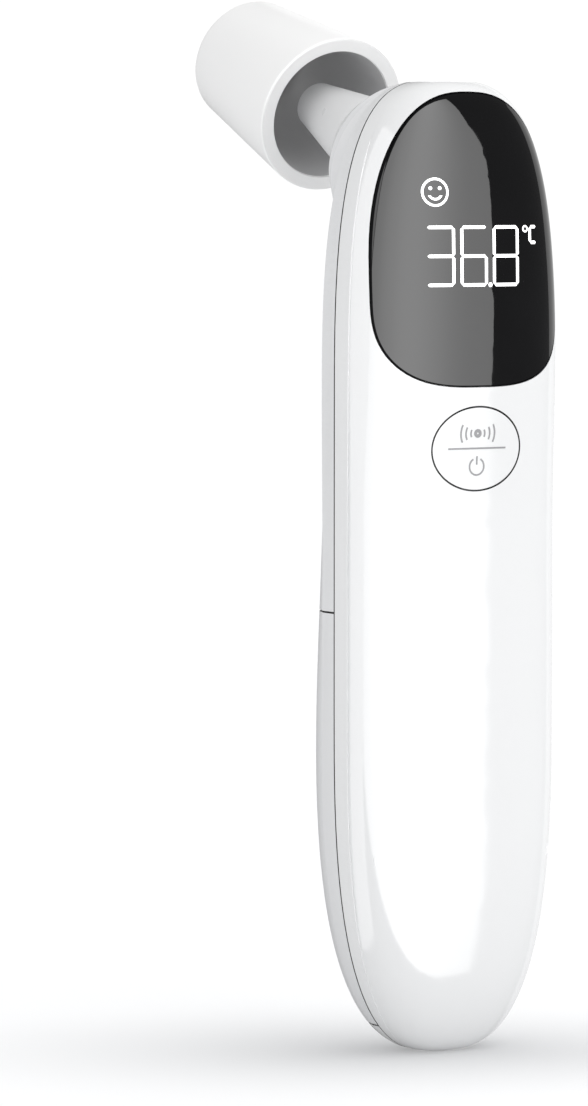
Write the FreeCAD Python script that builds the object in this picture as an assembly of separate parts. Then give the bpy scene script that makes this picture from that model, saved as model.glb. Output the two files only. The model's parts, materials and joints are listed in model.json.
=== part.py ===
import FreeCAD, Part
import math
import os

# Ear and forehead infrared thermometer, hand held, with a pull-off forehead cap.
#
# Frame, in millimetres: +Z runs up the body from its base, +X is to the right of someone who
# reads the display, and the display faces -Y.  The origin is the centre of the small flat at the
# base, on the plane y = 0 where the front and back shells meet.
# Pieces on the ear probe are drawn about +Z with z = 0 at the probe seat, then turned onto the
# probe axis by on_probe().

Vector = FreeCAD.Vector

# ---- driving dimensions: body -------------------------------------------------------------
body_length = 150.0
body_width = 37.4
grip_front_depth = 10.8      # from the parting plane to the front face, at the scan button
head_front_depth = 12.2      # the same at the display
neck_back_depth = 9.2        # from the parting plane to the back, above the battery cover
grip_back_depth = 13.9       # the same over the batteries
base_round = 52.0            # height over which the lower end closes in
crown_round = 50.0           # the same at the top
end_flat = 0.35              # how much of each rounded end the small end flat takes off
wall = 2.0
seam = 0.25                  # shadow gap between shells
tongue_inset = 1.0           # the tongue takes the inner part of the wall
tongue_height = 1.0
fit_gap = 0.1                # clearance between pieces that are fitted together

# ---- driving dimensions: battery cover and base cup ----------------------------------------
cup_height = 4.0             # the front shell closes the whole base up to here
cover_top = 68.5
finger_width = 4.0
grip_groove_count = 5
grip_groove_pitch = 2.2
grip_groove_radius = 0.6

# ---- driving dimensions: display -----------------------------------------------------------
lens_width = 33.8
lens_mid = body_length - 32.5      # height of the lens's widest line
lens_rise = 31.0             # from there to its top
lens_drop = 14.2             # from there to its bottom
lens_thickness = 1.4
gasket_thickness = 0.2
lens_ledge = 1.8
lens_gap = 0.12
digit_height = 9.3
digit_width = 4.9
digit_pitch = 5.85
digit_base = lens_mid + 1.25
figures_x = -1.15            # the three digits are centred this far to the right of x = 0
face_radius = 2.2            # the round smiling-face indicator
face_line = 0.35
smile_radius = 1.25
segment_width = 0.5
segment_thickness = 0.2
module_front = 8.3           # depth of the display module's front face before the parting plane
module_half_width = 13.0
module_bottom = lens_mid - 11.0
module_top = lens_mid + 20.0

# ---- driving dimensions: scan button and board ---------------------------------------------
button_height = body_length - 56.1
button_width = 15.75
button_tall = 12.7
button_gap = 0.2
button_travel = 0.6
button_flange = 1.0
board_front = 3.4            # depth of the board's front face before the parting plane
board_thickness = 1.2
board_bottom = body_length - 79.0
board_top = body_length - 10.0
board_half_width = 14.0
board_screw_x = 9.0
board_screw_z = board_bottom + 8.5
switch_size = 6.0
switch_height = 1.6
plunger_radius = 1.6

# ---- driving dimensions: probe and cap -------------------------------------------------------
probe_tilt = 19.3            # degrees above the horizontal
collar_radius = 12.0
collar_bore = collar_radius - 2.0
collar_height = 2.0
collar_edge = 0.5
seat_y = 10.9                # where the probe axis crosses the collar's lower edge
seat_z = body_length - collar_radius
boss_radius = collar_radius + 1.4
boss_drop = 1.5              # the boss stops this far short of the seat
boss_depth = 13.0
boss_wall = 1.8
probe_length = 27.5
probe_tip_radius = 3.45
probe_shoulder_radius = collar_bore - 3.1
probe_shoulder = 8.5
probe_stem_radius = collar_bore - 1.0
probe_cavity_radius = probe_stem_radius - 1.2
stem_clearance = 0.2
probe_nut_height = 1.8
cap_pulled = 19.8            # how far the cap stands off the collar at rest
cap_length = probe_length + 0.7
cap_mouth_radius = collar_radius + 0.75
cap_end_radius = 10.0
cap_wall = 1.75
cap_end_wall = 1.6
cap_lip = 0.6
cap_edge = 1.6
cap_window_radius = 4.5
liner_thickness = 0.7
magnet_radius = 0.55
magnet_length = 3.0
magnet_count = 4

# ---- driving dimensions: power ---------------------------------------------------------------
cell_radius = 5.2
cell_length = 44.5
cell_nub_radius = 1.9
cell_nub = 0.8
cell_spacing = 10.9
cell_axis_y = 4.5
spring_height = 3.3
spring_wire = 0.3
spring_radius = 3.4
spring_taper = 0.35           # each turn is this much smaller than the one below it
spring_turns = 3
plate_thickness = 0.3
tray_wall = 0.9
tray_bottom = 16.5
tray_depth = 6.5
screw_low_z = 31.0
screw_high_z = 64.0
screw_radius = 0.8
screw_head_radius = 1.7
screw_head_height = 1.2
ear_thickness = 1.4
screw_depth = 6.0            # how far a screw reaches in front of the parting plane
boss_outer = screw_head_radius + 0.3
tray_half_width = cell_spacing / 2 + cell_radius + 0.2 + tray_wall
screw_x = tray_half_width + boss_outer + 0.2

# ---- small helpers ---------------------------------------------------------------------------
FAR = 400.0


def box(x0, x1, y0, y1, z0, z1):
    return Part.makeBox(x1 - x0, y1 - y0, z1 - z0, Vector(x0, y0, z0))


def centred_box(half_x, y0, y1, z0, z1):
    return box(-half_x, half_x, y0, y1, z0, z1)


def rod_y(x, z, radius, y0, y1):
    """A round bar parallel to Y."""
    return Part.makeCylinder(radius, y1 - y0, Vector(x, y0, z), Vector(0, 1, 0))


def rod_z(x, y, radius, z0, z1):
    return Part.makeCylinder(radius, z1 - z0, Vector(x, y, z0))


def revolve(points):
    """A turned piece about +Z from its outline of (radius, height) corners."""
    corners = [Vector(r, 0, h) for r, h in points]
    face = Part.Face(Part.makePolygon(corners + corners[:1]))
    return face.revolve(Vector(0, 0, 0), Vector(0, 0, 1), 360)


def ring(inner, outer, z0, z1):
    return revolve([(inner, z0), (outer, z0), (outer, z1), (inner, z1)])


def curve_through(points, first=None, last=None):
    curve = Part.BSplineCurve()
    if first is None:
        curve.interpolate(Points=points)
    else:
        curve.interpolate(Points=points, InitialTangent=first, FinalTangent=last)
    return curve.toShape()


def signed_power(value, power):
    return math.copysign(abs(value) ** power, value)


# ---- the body's outer form -------------------------------------------------------------------
section_power = 2.8          # squareness of every cross-section
section_points = 17
base_width_power = 2.7
crown_width_power = 3.0
base_front_power = 3.5
crown_front_power = 4.5
base_back_power = 2.8
crown_back_power = 3.0


def closing(distance, reach, power):
    """Share of full size at a distance from a rounded end's pole."""
    if distance >= reach:
        return 1.0
    return (1 - (1 - distance / reach) ** power) ** (1 / power)


def eased(value, low, high):
    """0 below low, 1 above high, and smooth between."""
    share = min(1.0, max(0.0, (value - low) / (high - low)))
    return share * share * (3 - 2 * share)


def ends(z, inset, base_power, crown_power):
    base_reach = base_round + end_flat - inset
    crown_reach = crown_round + end_flat - inset
    low = closing(z + end_flat - inset, base_reach, base_power)
    high = closing(body_length + end_flat - inset - z, crown_reach, crown_power)
    return low * high


def half_width(z, inset):
    return (body_width / 2 - inset) * ends(z, inset, base_width_power, crown_width_power)


def front_depth(z, inset):
    rise = eased(z, button_height - 12, button_height + 18)
    depth = grip_front_depth + (head_front_depth - grip_front_depth) * rise
    return (depth - inset) * ends(z, inset, base_front_power, crown_front_power)


def back_depth(z, inset):
    fall = eased(z, cover_top - 24, cover_top + 32)
    depth = grip_back_depth + (neck_back_depth - grip_back_depth) * fall
    return (depth - inset) * ends(z, inset, base_back_power, crown_back_power)


def section(z, inset):
    """One closed cross-section: a front curve and a back curve that meet on y = 0."""
    width = half_width(z, inset)
    edges = []
    for side, depth in ((-1, front_depth(z, inset)), (1, back_depth(z, inset))):
        points = []
        for step in range(section_points):
            angle = math.pi * step / (section_points - 1)
            x = width * signed_power(math.cos(angle), 2 / section_power)
            y = side * depth * abs(math.sin(angle)) ** (2 / section_power)
            points.append(Vector(x, y, z))
        points[0] = Vector(width, 0, z)
        points[-1] = Vector(-width, 0, z)
        outward = Vector(0, side, 0)
        edges.append(curve_through(points, outward, outward * -1))
    return Part.Wire(edges)


base_stations = (0.0, 0.008, 0.025, 0.055, 0.1, 0.17, 0.27, 0.4, 0.58, 0.8, 1.0)
crown_stations = (1.0, 0.78, 0.56, 0.38, 0.25, 0.16, 0.095, 0.05, 0.022, 0.007, 0.0)
middle_sections = 2
forms = {}


def form(inset):
    """The solid inside the body's outer surface, drawn in by inset all over."""
    if inset not in forms:
        base_top = base_round
        crown_start = body_length - crown_round
        heights = [inset + (base_top - inset) * share for share in base_stations]
        for step in range(1, middle_sections + 1):
            heights.append(base_top + (crown_start - base_top) * step / (middle_sections + 1))
        top = body_length - inset
        heights += [top - (top - crown_start) * share for share in crown_stations]
        forms[inset] = Part.makeLoft([section(z, inset) for z in heights], True, False)
    return forms[inset]


def front_at(z, x=0.0, inset=0.0):
    """How far the front surface stands before the parting plane at a point."""
    share = abs(x) / half_width(z, inset)
    return front_depth(z, inset) * (1 - share ** section_power) ** (1 / section_power)


# ---- outlines on the front face ----------------------------------------------------------------
def lens_outline(inset):
    """Egg-shaped outline on y = 0, from two half superellipses that share their widest line."""
    width = lens_width / 2 - inset
    points = []
    for step in range(33):
        angle = 2 * math.pi * step / 32
        upper = math.sin(angle) >= 0
        tall = (lens_rise if upper else lens_drop) - inset
        power = 2 / (2.5 if upper else 3.0)
        x = width * signed_power(math.cos(angle), power)
        z = lens_mid + tall * signed_power(math.sin(angle), power)
        points.append(Vector(x, 0, z))
    curve = Part.BSplineCurve()
    curve.interpolate(Points=points[:-1], PeriodicFlag=True)
    return Part.Wire(curve.toShape())


def lens_prism(inset, y0, y1):
    face = Part.Face(lens_outline(inset))
    face.translate(Vector(0, y0, 0))
    return face.extrude(Vector(0, y1 - y0, 0))


def oval_prism(half_x, half_z, z, y0, y1):
    oval = Part.Ellipse(Vector(0, y0, z), max(half_x, half_z), min(half_x, half_z))
    edge = oval.toShape()
    edge.rotate(Vector(0, y0, z), Vector(1, 0, 0), 90)
    if half_z > half_x:
        edge.rotate(Vector(0, y0, z), Vector(0, 1, 0), 90)
    return Part.Face(Part.Wire(edge)).extrude(Vector(0, y1 - y0, 0))


# ---- placing on the probe axis -------------------------------------------------------------------
def on_probe(shape):
    shape = shape.copy()
    shape.rotate(Vector(0, 0, 0), Vector(1, 0, 0), probe_tilt - 90)
    shape.translate(Vector(0, seat_y, seat_z))
    return shape


# ---- front shell ----------------------------------------------------------------------------------
before_parting = box(-FAR, FAR, -FAR, 0, -FAR, FAR)
base_block = box(-FAR, FAR, -FAR, FAR, -FAR, cup_height)
lens_seat = lens_thickness + gasket_thickness
battery_screws = [(side * screw_x, z) for side in (-1, 1) for z in (screw_low_z, screw_high_z)]
board_screws_at = [(side * board_screw_x, board_screw_z) for side in (-1, 1)]


def front_bosses():
    """Screw posts that stand on the inside of the front face."""
    posts = []
    for x, z in battery_screws:
        posts.append(rod_y(x, z, boss_outer, -front_at(z, x, wall / 2), -fit_gap))
    for x, z in board_screws_at:
        posts.append(rod_y(x, z, boss_outer, -front_at(z, x, wall / 2), -board_front))
    return posts


def front_shell():
    skin = form(0.0).cut(form(wall))
    shell = skin.common(before_parting.fuse(base_block))
    tongue_band = box(-FAR, FAR, -tongue_height, tongue_height, -FAR, FAR)
    tongue = form(tongue_inset).cut(form(wall)).common(tongue_band)
    ribs = []
    for z in (40.0, 52.0):
        rib = centred_box(FAR, -FAR, -wall - tray_wall - 1.5, z - 0.6, z + 0.6)
        ribs.append(rib.common(form(wall / 2)).cut(form(wall + 2.5)))
    shell = shell.fuse([tongue] + ribs + front_bosses())
    shell = shell.cut(lens_prism(0.0, -FAR, -1.0).cut(form(lens_seat)))
    shell = shell.cut(lens_prism(lens_ledge, -FAR, -1.0))
    hole_x = button_width / 2 + button_gap
    hole_z = button_tall / 2 + button_gap
    shell = shell.cut(oval_prism(hole_x, hole_z, button_height, -FAR, -board_front))
    for x, z in battery_screws:
        shell = shell.cut(rod_y(x, z, screw_radius + fit_gap, -screw_depth - 0.5, FAR))
    for x, z in board_screws_at:
        bottom = -board_front - screw_depth / 2 - 0.5
        shell = shell.cut(rod_y(x, z, screw_radius + fit_gap, bottom, FAR))
    return shell


# ---- display ----------------------------------------------------------------------------------------
def display_lens():
    return form(0.0).cut(form(lens_thickness)).common(lens_prism(lens_gap, -FAR, -1.0))


def lens_gasket():
    band = lens_prism(3 * lens_gap, -FAR, -1.0).cut(lens_prism(lens_ledge, -FAR, -1.0))
    return form(lens_thickness).cut(form(lens_seat)).common(band)


def display_module():
    block = centred_box(module_half_width, -module_front, -board_front, module_bottom, module_top)
    return block.common(form(wall + 0.3))


def segment_bar(x0, z0, x1, z1):
    """One lit bar with pointed ends, standing on the module's front face."""
    half = segment_width / 2
    along = Vector(x1 - x0, 0, z1 - z0).normalize()
    side = Vector(-along.z, 0, along.x)
    start = Vector(x0, -module_front - segment_thickness, z0)
    end = Vector(x1, -module_front - segment_thickness, z1)
    corners = [
        start,
        start + along * half + side * half,
        end - along * half + side * half,
        end,
        end - along * half - side * half,
        start + along * half - side * half,
    ]
    face = Part.Face(Part.makePolygon(corners + corners[:1]))
    return face.extrude(Vector(0, segment_thickness, 0))


# Bars of a seven-segment digit as (x0, z0, x1, z1), in shares of the digit's width and height.
BARS = {
    "top": (0, 1, 1, 1),
    "upper_left": (0, 0.5, 0, 1),
    "upper_right": (1, 0.5, 1, 1),
    "middle": (0, 0.5, 1, 0.5),
    "lower_left": (0, 0, 0, 0.5),
    "lower_right": (1, 0, 1, 0.5),
    "bottom": (0, 0, 1, 0),
}
DIGIT_BARS = {
    "3": ("top", "upper_right", "middle", "lower_right", "bottom"),
    "6": ("top", "upper_left", "middle", "lower_left", "lower_right", "bottom"),
    "8": tuple(BARS),
}
bar_gap = 0.06               # each bar stops this far short of the corner it shares


def digit(name, x, z, width, height):
    bars = []
    for bar in DIGIT_BARS[name]:
        x0, z0, x1, z1 = BARS[bar]
        start = Vector(x + x0 * width, 0, z + z0 * height)
        end = Vector(x + x1 * width, 0, z + z1 * height)
        step = (end - start).normalize() * bar_gap
        start = start + step
        end = end - step
        bars.append(segment_bar(start.x, start.z, end.x, end.z))
    return bars


def display_segments():
    """The lit figures 36.8, a degree ring and a C, and a round smiling-face indicator."""
    solids = []
    bar_span = digit_width - segment_width
    tall = digit_height - segment_width
    low = digit_base + segment_width / 2
    for index, name in enumerate("368"):
        left = (index - 1.5) * digit_pitch + (digit_pitch - bar_span) / 2
        solids += digit(name, left, low, bar_span, tall)
    front = -module_front - segment_thickness
    dot = digit_pitch / 2
    solids.append(rod_y(dot, low, segment_width * 0.7, front, -module_front))
    right = 1.5 * digit_pitch + 0.9
    top = digit_base + digit_height - 0.55
    degree = rod_y(right, top, 0.55, front, -module_front)
    solids.append(degree.cut(rod_y(right, top, 0.3, front, -module_front)))
    c_left = right + 1.0
    c_height = 2.4
    c_low = digit_base + digit_height - segment_width / 2 - c_height
    for z in (c_low, c_low + c_height):
        solids.append(segment_bar(c_left + bar_gap, z, c_left + 1.3, z))
    solids.append(segment_bar(c_left, c_low + bar_gap, c_left, c_low + c_height - bar_gap))
    face_x = -digit_pitch - 0.7
    face_z = digit_base + digit_height + 5.1
    rim = rod_y(face_x, face_z, face_radius, front, -module_front)
    solids.append(rim.cut(rod_y(face_x, face_z, face_radius - face_line, front, -module_front)))
    for side in (-1, 1):
        solids.append(rod_y(face_x + side * 0.75, face_z + 0.6, 0.28, front, -module_front))
    smile = rod_y(face_x, face_z, smile_radius, front, -module_front)
    smile = smile.cut(rod_y(face_x, face_z, smile_radius - face_line, front, -module_front))
    solids.append(smile.common(centred_box(FAR, -FAR, FAR, -FAR, face_z - 0.5)))
    figures = Part.makeCompound(solids)
    figures.translate(Vector(figures_x, 0, 0))
    return figures


# ---- board and scan button -----------------------------------------------------------------------------
def main_board():
    board = centred_box(board_half_width, -board_front, -board_front + board_thickness,
                        board_bottom, board_top)
    board = board.common(form(wall + 0.5))
    for x, z in board_screws_at:
        board = board.cut(rod_y(x, z, screw_radius + 2 * fit_gap, -FAR, FAR))
    return board


board_back = -board_front + board_thickness
socket_z = board_top - 32.0
socket_height = 1.1


def board_components():
    """Controller, memory, crystal, ribbon socket and small parts on the board's back face."""
    middle = button_height + 4.1
    sizes = [
        (0.0, middle, 7.0, 7.0, 1.2),
        (-9.0, middle, 4.0, 5.0, 1.2),
        (8.5, middle - 1.0, 3.2, 2.0, 0.9),
        (0.0, socket_z, 6.4, 3.0, socket_height),
    ]
    for step in range(5):
        sizes.append((-6.0 + 3.0 * step, middle - 8.5, 1.0, 1.8, 0.7))
    solids = []
    for x, z, wide, tall, high in sizes:
        solids.append(box(x - wide / 2, x + wide / 2, board_back, board_back + high,
                          z - tall / 2, z + tall / 2))
    return Part.makeCompound(solids)


def buzzer():
    return rod_y(0, board_bottom + 7.5, 4.5, board_back, board_back + 1.8)


def hall_sensor():
    low = seat_z - boss_radius - 2.6
    return centred_box(2.0, board_back, board_back + 1.5, low, low + 3.0)


def tact_switch():
    front = -board_front - switch_height
    half = switch_size / 2
    body = centred_box(half, front, -board_front, button_height - half, button_height + half)
    body = body.cut(rod_y(0, button_height, plunger_radius + fit_gap, front, -board_front - 0.1))
    return body


plunger_front = -board_front - switch_height - 0.8


def switch_plunger():
    return rod_y(0, button_height, plunger_radius, plunger_front,
                 -board_front - 0.1 - button_travel - fit_gap)


def scan_button():
    """Oval key, flush with the front face, with a hidden flange and a stem to the switch."""
    flange_x = button_width / 2 + button_flange
    flange_z = button_tall / 2 + button_flange
    flange_front = -front_at(button_height, flange_x, wall) + button_gap
    flange_back = flange_front + 0.8
    key = oval_prism(button_width / 2, button_tall / 2, button_height, -FAR, flange_back)
    key = key.common(form(0.0))
    flange = oval_prism(flange_x, flange_z, button_height, flange_front, flange_back)
    stem = rod_y(0, button_height, plunger_radius + 0.4, flange_back - 0.1, plunger_front - 0.05)
    return key.fuse([flange, stem])


# ---- back shell and battery cover ------------------------------------------------------------------------
def behind_parting(z0, z1):
    return box(-FAR, FAR, seam, FAR, z0, z1)


def tongue_groove():
    """The room that the back pieces leave for the front shell's tongue."""
    band = box(-FAR, FAR, -FAR, tongue_height + seam, -FAR, FAR)
    return form(tongue_inset - fit_gap / 2).common(band)


def back_shell():
    skin = form(0.0).cut(form(wall)).common(behind_parting(cover_top + seam, FAR))
    boss = on_probe(rod_z(0, 0, boss_radius, -boss_depth, -boss_drop))
    boss = boss.common(behind_parting(cover_top + seam, FAR))
    shell = skin.fuse(boss)
    hollow = on_probe(rod_z(0, 0, boss_radius - boss_wall, -FAR, -boss_drop - boss_wall))
    hollow = hollow.common(behind_parting(cover_top, FAR))
    shell = shell.cut(hollow)
    shell = shell.cut(on_probe(rod_z(0, 0, probe_stem_radius + stem_clearance, -FAR, FAR)))
    shell = shell.cut(tongue_groove())
    tab_front = ear_thickness + fit_gap / 2
    tab_back = tab_front + 1.2
    for side in (-1, 1):
        inner = tray_half_width + fit_gap
        outer = body_width / 2 - wall / 2
        low = box(inner, screw_x + boss_outer - 0.4, tab_front, tab_back,
                  screw_high_z - boss_outer, cover_top + 6)
        high = box(inner, outer, tab_front, tab_back, cover_top + 1, cover_top + 6)
        tab = low.fuse(high).cut(rod_y(screw_x, screw_high_z, screw_radius + fit_gap, -FAR, FAR))
        if side < 0:
            tab = tab.mirror(Vector(0, 0, 0), Vector(1, 0, 0))
        shell = shell.fuse(tab)
    return shell


def battery_cover():
    cover = form(0.0).cut(form(wall)).common(behind_parting(cup_height + seam, cover_top))
    cover = cover.cut(tongue_groove())
    middle = (cup_height + cover_top) / 2
    reach = back_depth(middle, wall / 2)
    for side in (-1, 1):
        inner = min(side * (tray_half_width + fit_gap), side * (tray_half_width + 1.3))
        finger = box(inner, inner + 1.2, tongue_height + 1.5, reach,
                     middle - finger_width / 2, middle + finger_width / 2)
        cover = cover.fuse(finger.common(form(wall / 2)))
    for step in range(grip_groove_count):
        z = cover_top - 8.0 - grip_groove_pitch * step
        y = back_depth(z, 0) + grip_groove_radius * 0.35
        groove = Part.makeCylinder(grip_groove_radius, 16.0, Vector(-8.0, y, z), Vector(1, 0, 0))
        cover = cover.cut(groove)
    return cover


# ---- power ------------------------------------------------------------------------------------------------
tray_inner_bottom = tray_bottom + tray_wall
cell_room = cell_length + spring_height + 2 * plate_thickness + 0.3
tray_inner_top = tray_inner_bottom + cell_room
tray_floor = cell_axis_y - cell_radius - 0.2


def battery_tray():
    outer = centred_box(tray_half_width, tray_floor - tray_wall, tray_depth,
                        tray_bottom, tray_inner_top + tray_wall)
    for x, z in battery_screws:
        ear = rod_y(x, z, boss_outer, 0, ear_thickness)
        near = math.copysign(tray_half_width - tray_wall, x)
        bridge = box(min(near, x), max(near, x), 0, ear_thickness, z - boss_outer, z + boss_outer)
        outer = outer.fuse([ear, bridge])
    tray = outer.common(form(wall + 0.3))
    room = centred_box(tray_half_width - tray_wall, tray_floor, FAR,
                       tray_inner_bottom, tray_inner_top)
    tray = tray.cut(room)
    divider = centred_box(0.15, tray_floor - 0.1, cell_axis_y - 2.0, tray_inner_bottom + 6.0,
                          tray_inner_top - 6.0)
    tray = tray.fuse(divider)
    for x, z in battery_screws:
        tray = tray.cut(rod_y(x, z, screw_radius + fit_gap, -FAR, FAR))
    return tray


left_cell_x = -cell_spacing / 2
right_cell_x = cell_spacing / 2
contact_low = tray_inner_bottom + 0.1 + plate_thickness
contact_high = tray_inner_top - 0.1 - plate_thickness


def cell(x, nub_up):
    """One AAA cell standing against its contact plate by the nub."""
    can = cell_length - cell_nub
    if nub_up:
        low = contact_high - cell_length
        return rod_z(x, cell_axis_y, cell_radius, low, low + can).fuse(
            rod_z(x, cell_axis_y, cell_nub_radius, low + can, contact_high))
    body = rod_z(x, cell_axis_y, cell_radius, contact_low + cell_nub, contact_low + cell_length)
    return body.fuse(rod_z(x, cell_axis_y, cell_nub_radius, contact_low, contact_low + cell_nub))


def coil(x, z0, z1):
    """A tapered contact spring that fills the height between a plate and a cell's flat end."""
    low = z0 + spring_wire + fit_gap / 2
    rise = (z1 - z0 - 2 * spring_wire - fit_gap) / spring_turns
    centres = []
    for turn in range(spring_turns + 1):
        centres.append((spring_radius - spring_taper * turn, low + rise * turn))
    spring = None
    for turn, (radius, z) in enumerate(centres):
        hoop = Part.makeTorus(radius, spring_wire, Vector(x, cell_axis_y, z))
        spring = hoop if spring is None else spring.fuse(hoop)
        if turn == 0:
            continue
        side = 1 if turn % 2 else -1
        before, height = centres[turn - 1]
        start = Vector(x + side * before, cell_axis_y, height)
        end = Vector(x + side * radius, cell_axis_y, z)
        strut = Part.makeCylinder(spring_wire * 0.9, (end - start).Length, start, end - start)
        spring = spring.fuse(strut)
    return spring


def battery_springs():
    low = coil(left_cell_x, contact_low, contact_high - cell_length)
    high = coil(right_cell_x, contact_low + cell_length, contact_high)
    return Part.makeCompound([low, high])


def contact_plates():
    half = cell_radius - 1.0
    front = cell_axis_y - half
    back = cell_axis_y + half - 1.2
    plates = [centred_box(cell_spacing / 2 + half, front, back,
                          contact_low - plate_thickness, contact_low)]
    for x in (left_cell_x, right_cell_x):
        plates.append(box(x - half, x + half, front, back,
                          contact_high, contact_high + plate_thickness))
    return Part.makeCompound(plates)


def screw(x, z, seat, length):
    """A cross-head screw whose head sits on the plane y = seat."""
    head = rod_y(x, z, screw_head_radius, seat, seat + screw_head_height)
    shank = rod_y(x, z, screw_radius, seat - length, seat)
    body = head.fuse(shank)
    slot = screw_head_radius * 0.6
    deep = seat + screw_head_height * 0.45
    body = body.cut(box(x - slot, x + slot, deep, FAR, z - 0.22, z + 0.22))
    return body.cut(box(x - 0.22, x + 0.22, deep, FAR, z - slot, z + slot))


def case_screws():
    low_seat = ear_thickness
    high_seat = ear_thickness + fit_gap / 2 + 1.2
    screws = []
    for x, z in battery_screws:
        seat = low_seat if z == screw_low_z else high_seat
        screws.append(screw(x, z, seat, seat + screw_depth))
    return Part.makeCompound(screws)


def board_screws():
    length = board_thickness + screw_depth / 2
    return Part.makeCompound([screw(x, z, board_back, length) for x, z in board_screws_at])


# ---- probe ----------------------------------------------------------------------------------------------------
def probe_collar():
    """Ring on the back of the head that the cap's mouth closes onto."""
    collar = ring(collar_bore, collar_radius, -boss_drop, collar_height)
    rim = [edge for edge in collar.Edges
           if abs(edge.BoundBox.ZMax - collar_height) < 1e-6
           and abs(edge.BoundBox.ZMin - collar_height) < 1e-6
           and edge.BoundBox.XMax > collar_bore + 0.1]
    collar = collar.makeFillet(collar_edge, rim)
    pocket = ring(seat_ring_inner - 0.05, seat_ring_outer + 0.05, -boss_drop, seat_ring_top + 0.05)
    return on_probe(collar.cut(pocket))


seat_ring_inner = collar_bore + 0.5
seat_ring_outer = collar_radius - 0.6
seat_ring_top = collar_height - 1.3


def seat_ring():
    """Steel ring under the collar that the cap's magnets hold to."""
    return on_probe(ring(seat_ring_inner, seat_ring_outer, -boss_drop, seat_ring_top))


probe_bore_radius = 2.6
probe_bore_start = 20.0
stem_bottom = -boss_drop - boss_wall - probe_nut_height - 1.2


def probe_outline():
    """Outer edge of the ear probe from its stem to its tip, as a closed half section."""
    flange = collar_bore - fit_gap / 2
    stem = Part.makePolygon([
        Vector(probe_cavity_radius, 0, stem_bottom),
        Vector(probe_stem_radius, 0, stem_bottom),
        Vector(probe_stem_radius, 0, -boss_drop),
        Vector(flange, 0, -boss_drop),
        Vector(flange, 0, collar_height),
    ])
    flare = Part.Arc(
        Vector(flange, 0, collar_height),
        Vector(probe_shoulder_radius + 0.75, 0, (collar_height + probe_shoulder) / 2 - 0.6),
        Vector(probe_shoulder_radius, 0, probe_shoulder),
    ).toShape()
    tip_start = probe_length - 1.0
    cone = Part.makeLine(Vector(probe_shoulder_radius, 0, probe_shoulder),
                         Vector(probe_tip_radius + 0.25, 0, tip_start))
    tip = Part.Arc(
        Vector(probe_tip_radius + 0.25, 0, tip_start),
        Vector(probe_tip_radius - 0.05, 0, probe_length - 0.25),
        Vector(probe_tip_radius - 0.8, 0, probe_length),
    ).toShape()
    window = probe_bore_radius - 0.4
    inside = Part.makePolygon([
        Vector(probe_tip_radius - 0.8, 0, probe_length),
        Vector(window, 0, probe_length),
        Vector(window, 0, probe_length - 0.3),
        Vector(probe_bore_radius, 0, probe_length - 0.3),
        Vector(probe_bore_radius, 0, probe_bore_start),
        Vector(probe_cavity_radius, 0, collar_height - 0.5),
        Vector(probe_cavity_radius, 0, stem_bottom),
    ])
    return Part.Wire(stem.Edges + [flare, cone, tip] + inside.Edges)


def ear_probe():
    section_face = Part.Face(probe_outline())
    return on_probe(section_face.revolve(Vector(0, 0, 0), Vector(0, 0, 1), 360))


def tip_window():
    top = probe_length - 0.3
    return on_probe(rod_z(0, 0, probe_bore_radius - 0.05, top - 0.4, top))


def waveguide_tube():
    return on_probe(ring(1.7, probe_bore_radius - 0.1, holder_top - 1.0, probe_length - 0.8))


holder_bottom = 8.0
holder_top = 15.0


def cavity_radius(height):
    """Radius of the probe's tapered inside at a height above the seat."""
    share = (height - (collar_height - 0.5)) / (probe_bore_start - (collar_height - 0.5))
    return probe_cavity_radius + (probe_bore_radius - probe_cavity_radius) * share


can_radius = 2.35
can_low = 10.5
can_high = 13.7


def sensor_holder():
    """Metal block that keeps the thermopile at the probe's temperature."""
    block = revolve([(0, holder_bottom), (cavity_radius(holder_bottom) - 0.15, holder_bottom),
                     (cavity_radius(holder_top) - 0.15, holder_top), (0, holder_top)])
    block = block.cut(rod_z(0, 0, can_radius + 0.5, holder_bottom, can_low))
    block = block.cut(rod_z(0, 0, can_radius + 0.05, can_low, can_high + 0.1))
    block = block.cut(rod_z(0, 0, probe_bore_radius - 0.05, holder_top - 1.05, holder_top))
    return on_probe(block.cut(rod_z(0, 0, 1.7, can_high, holder_top)))


def thermopile_sensor():
    can = rod_z(0, 0, can_radius, can_low, can_high)
    foot = rod_z(0, 0, can_radius + 0.4, can_low - 0.5, can_low)
    sensor = can.fuse(foot)
    for step in range(4):
        angle = math.pi / 4 + step * math.pi / 2
        x = 1.27 * math.cos(angle)
        y = 1.27 * math.sin(angle)
        sensor = sensor.fuse(rod_z(x, y, 0.22, can_low - 5.0, can_low - 0.4))
    return on_probe(sensor)


def probe_nut():
    """Slotted ring that clamps the probe's stem to the back shell from inside."""
    top = -boss_drop - boss_wall
    bottom = top - probe_nut_height
    nut = ring(probe_stem_radius + fit_gap / 2, probe_stem_radius + 2.2, bottom, top)
    for step in range(6):
        notch = box(probe_stem_radius + 1.4, FAR, -1.0, 1.0, bottom, top)
        notch.rotate(Vector(0, 0, 0), Vector(0, 0, 1), 60 * step)
        nut = nut.cut(notch)
    return on_probe(nut)


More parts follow.
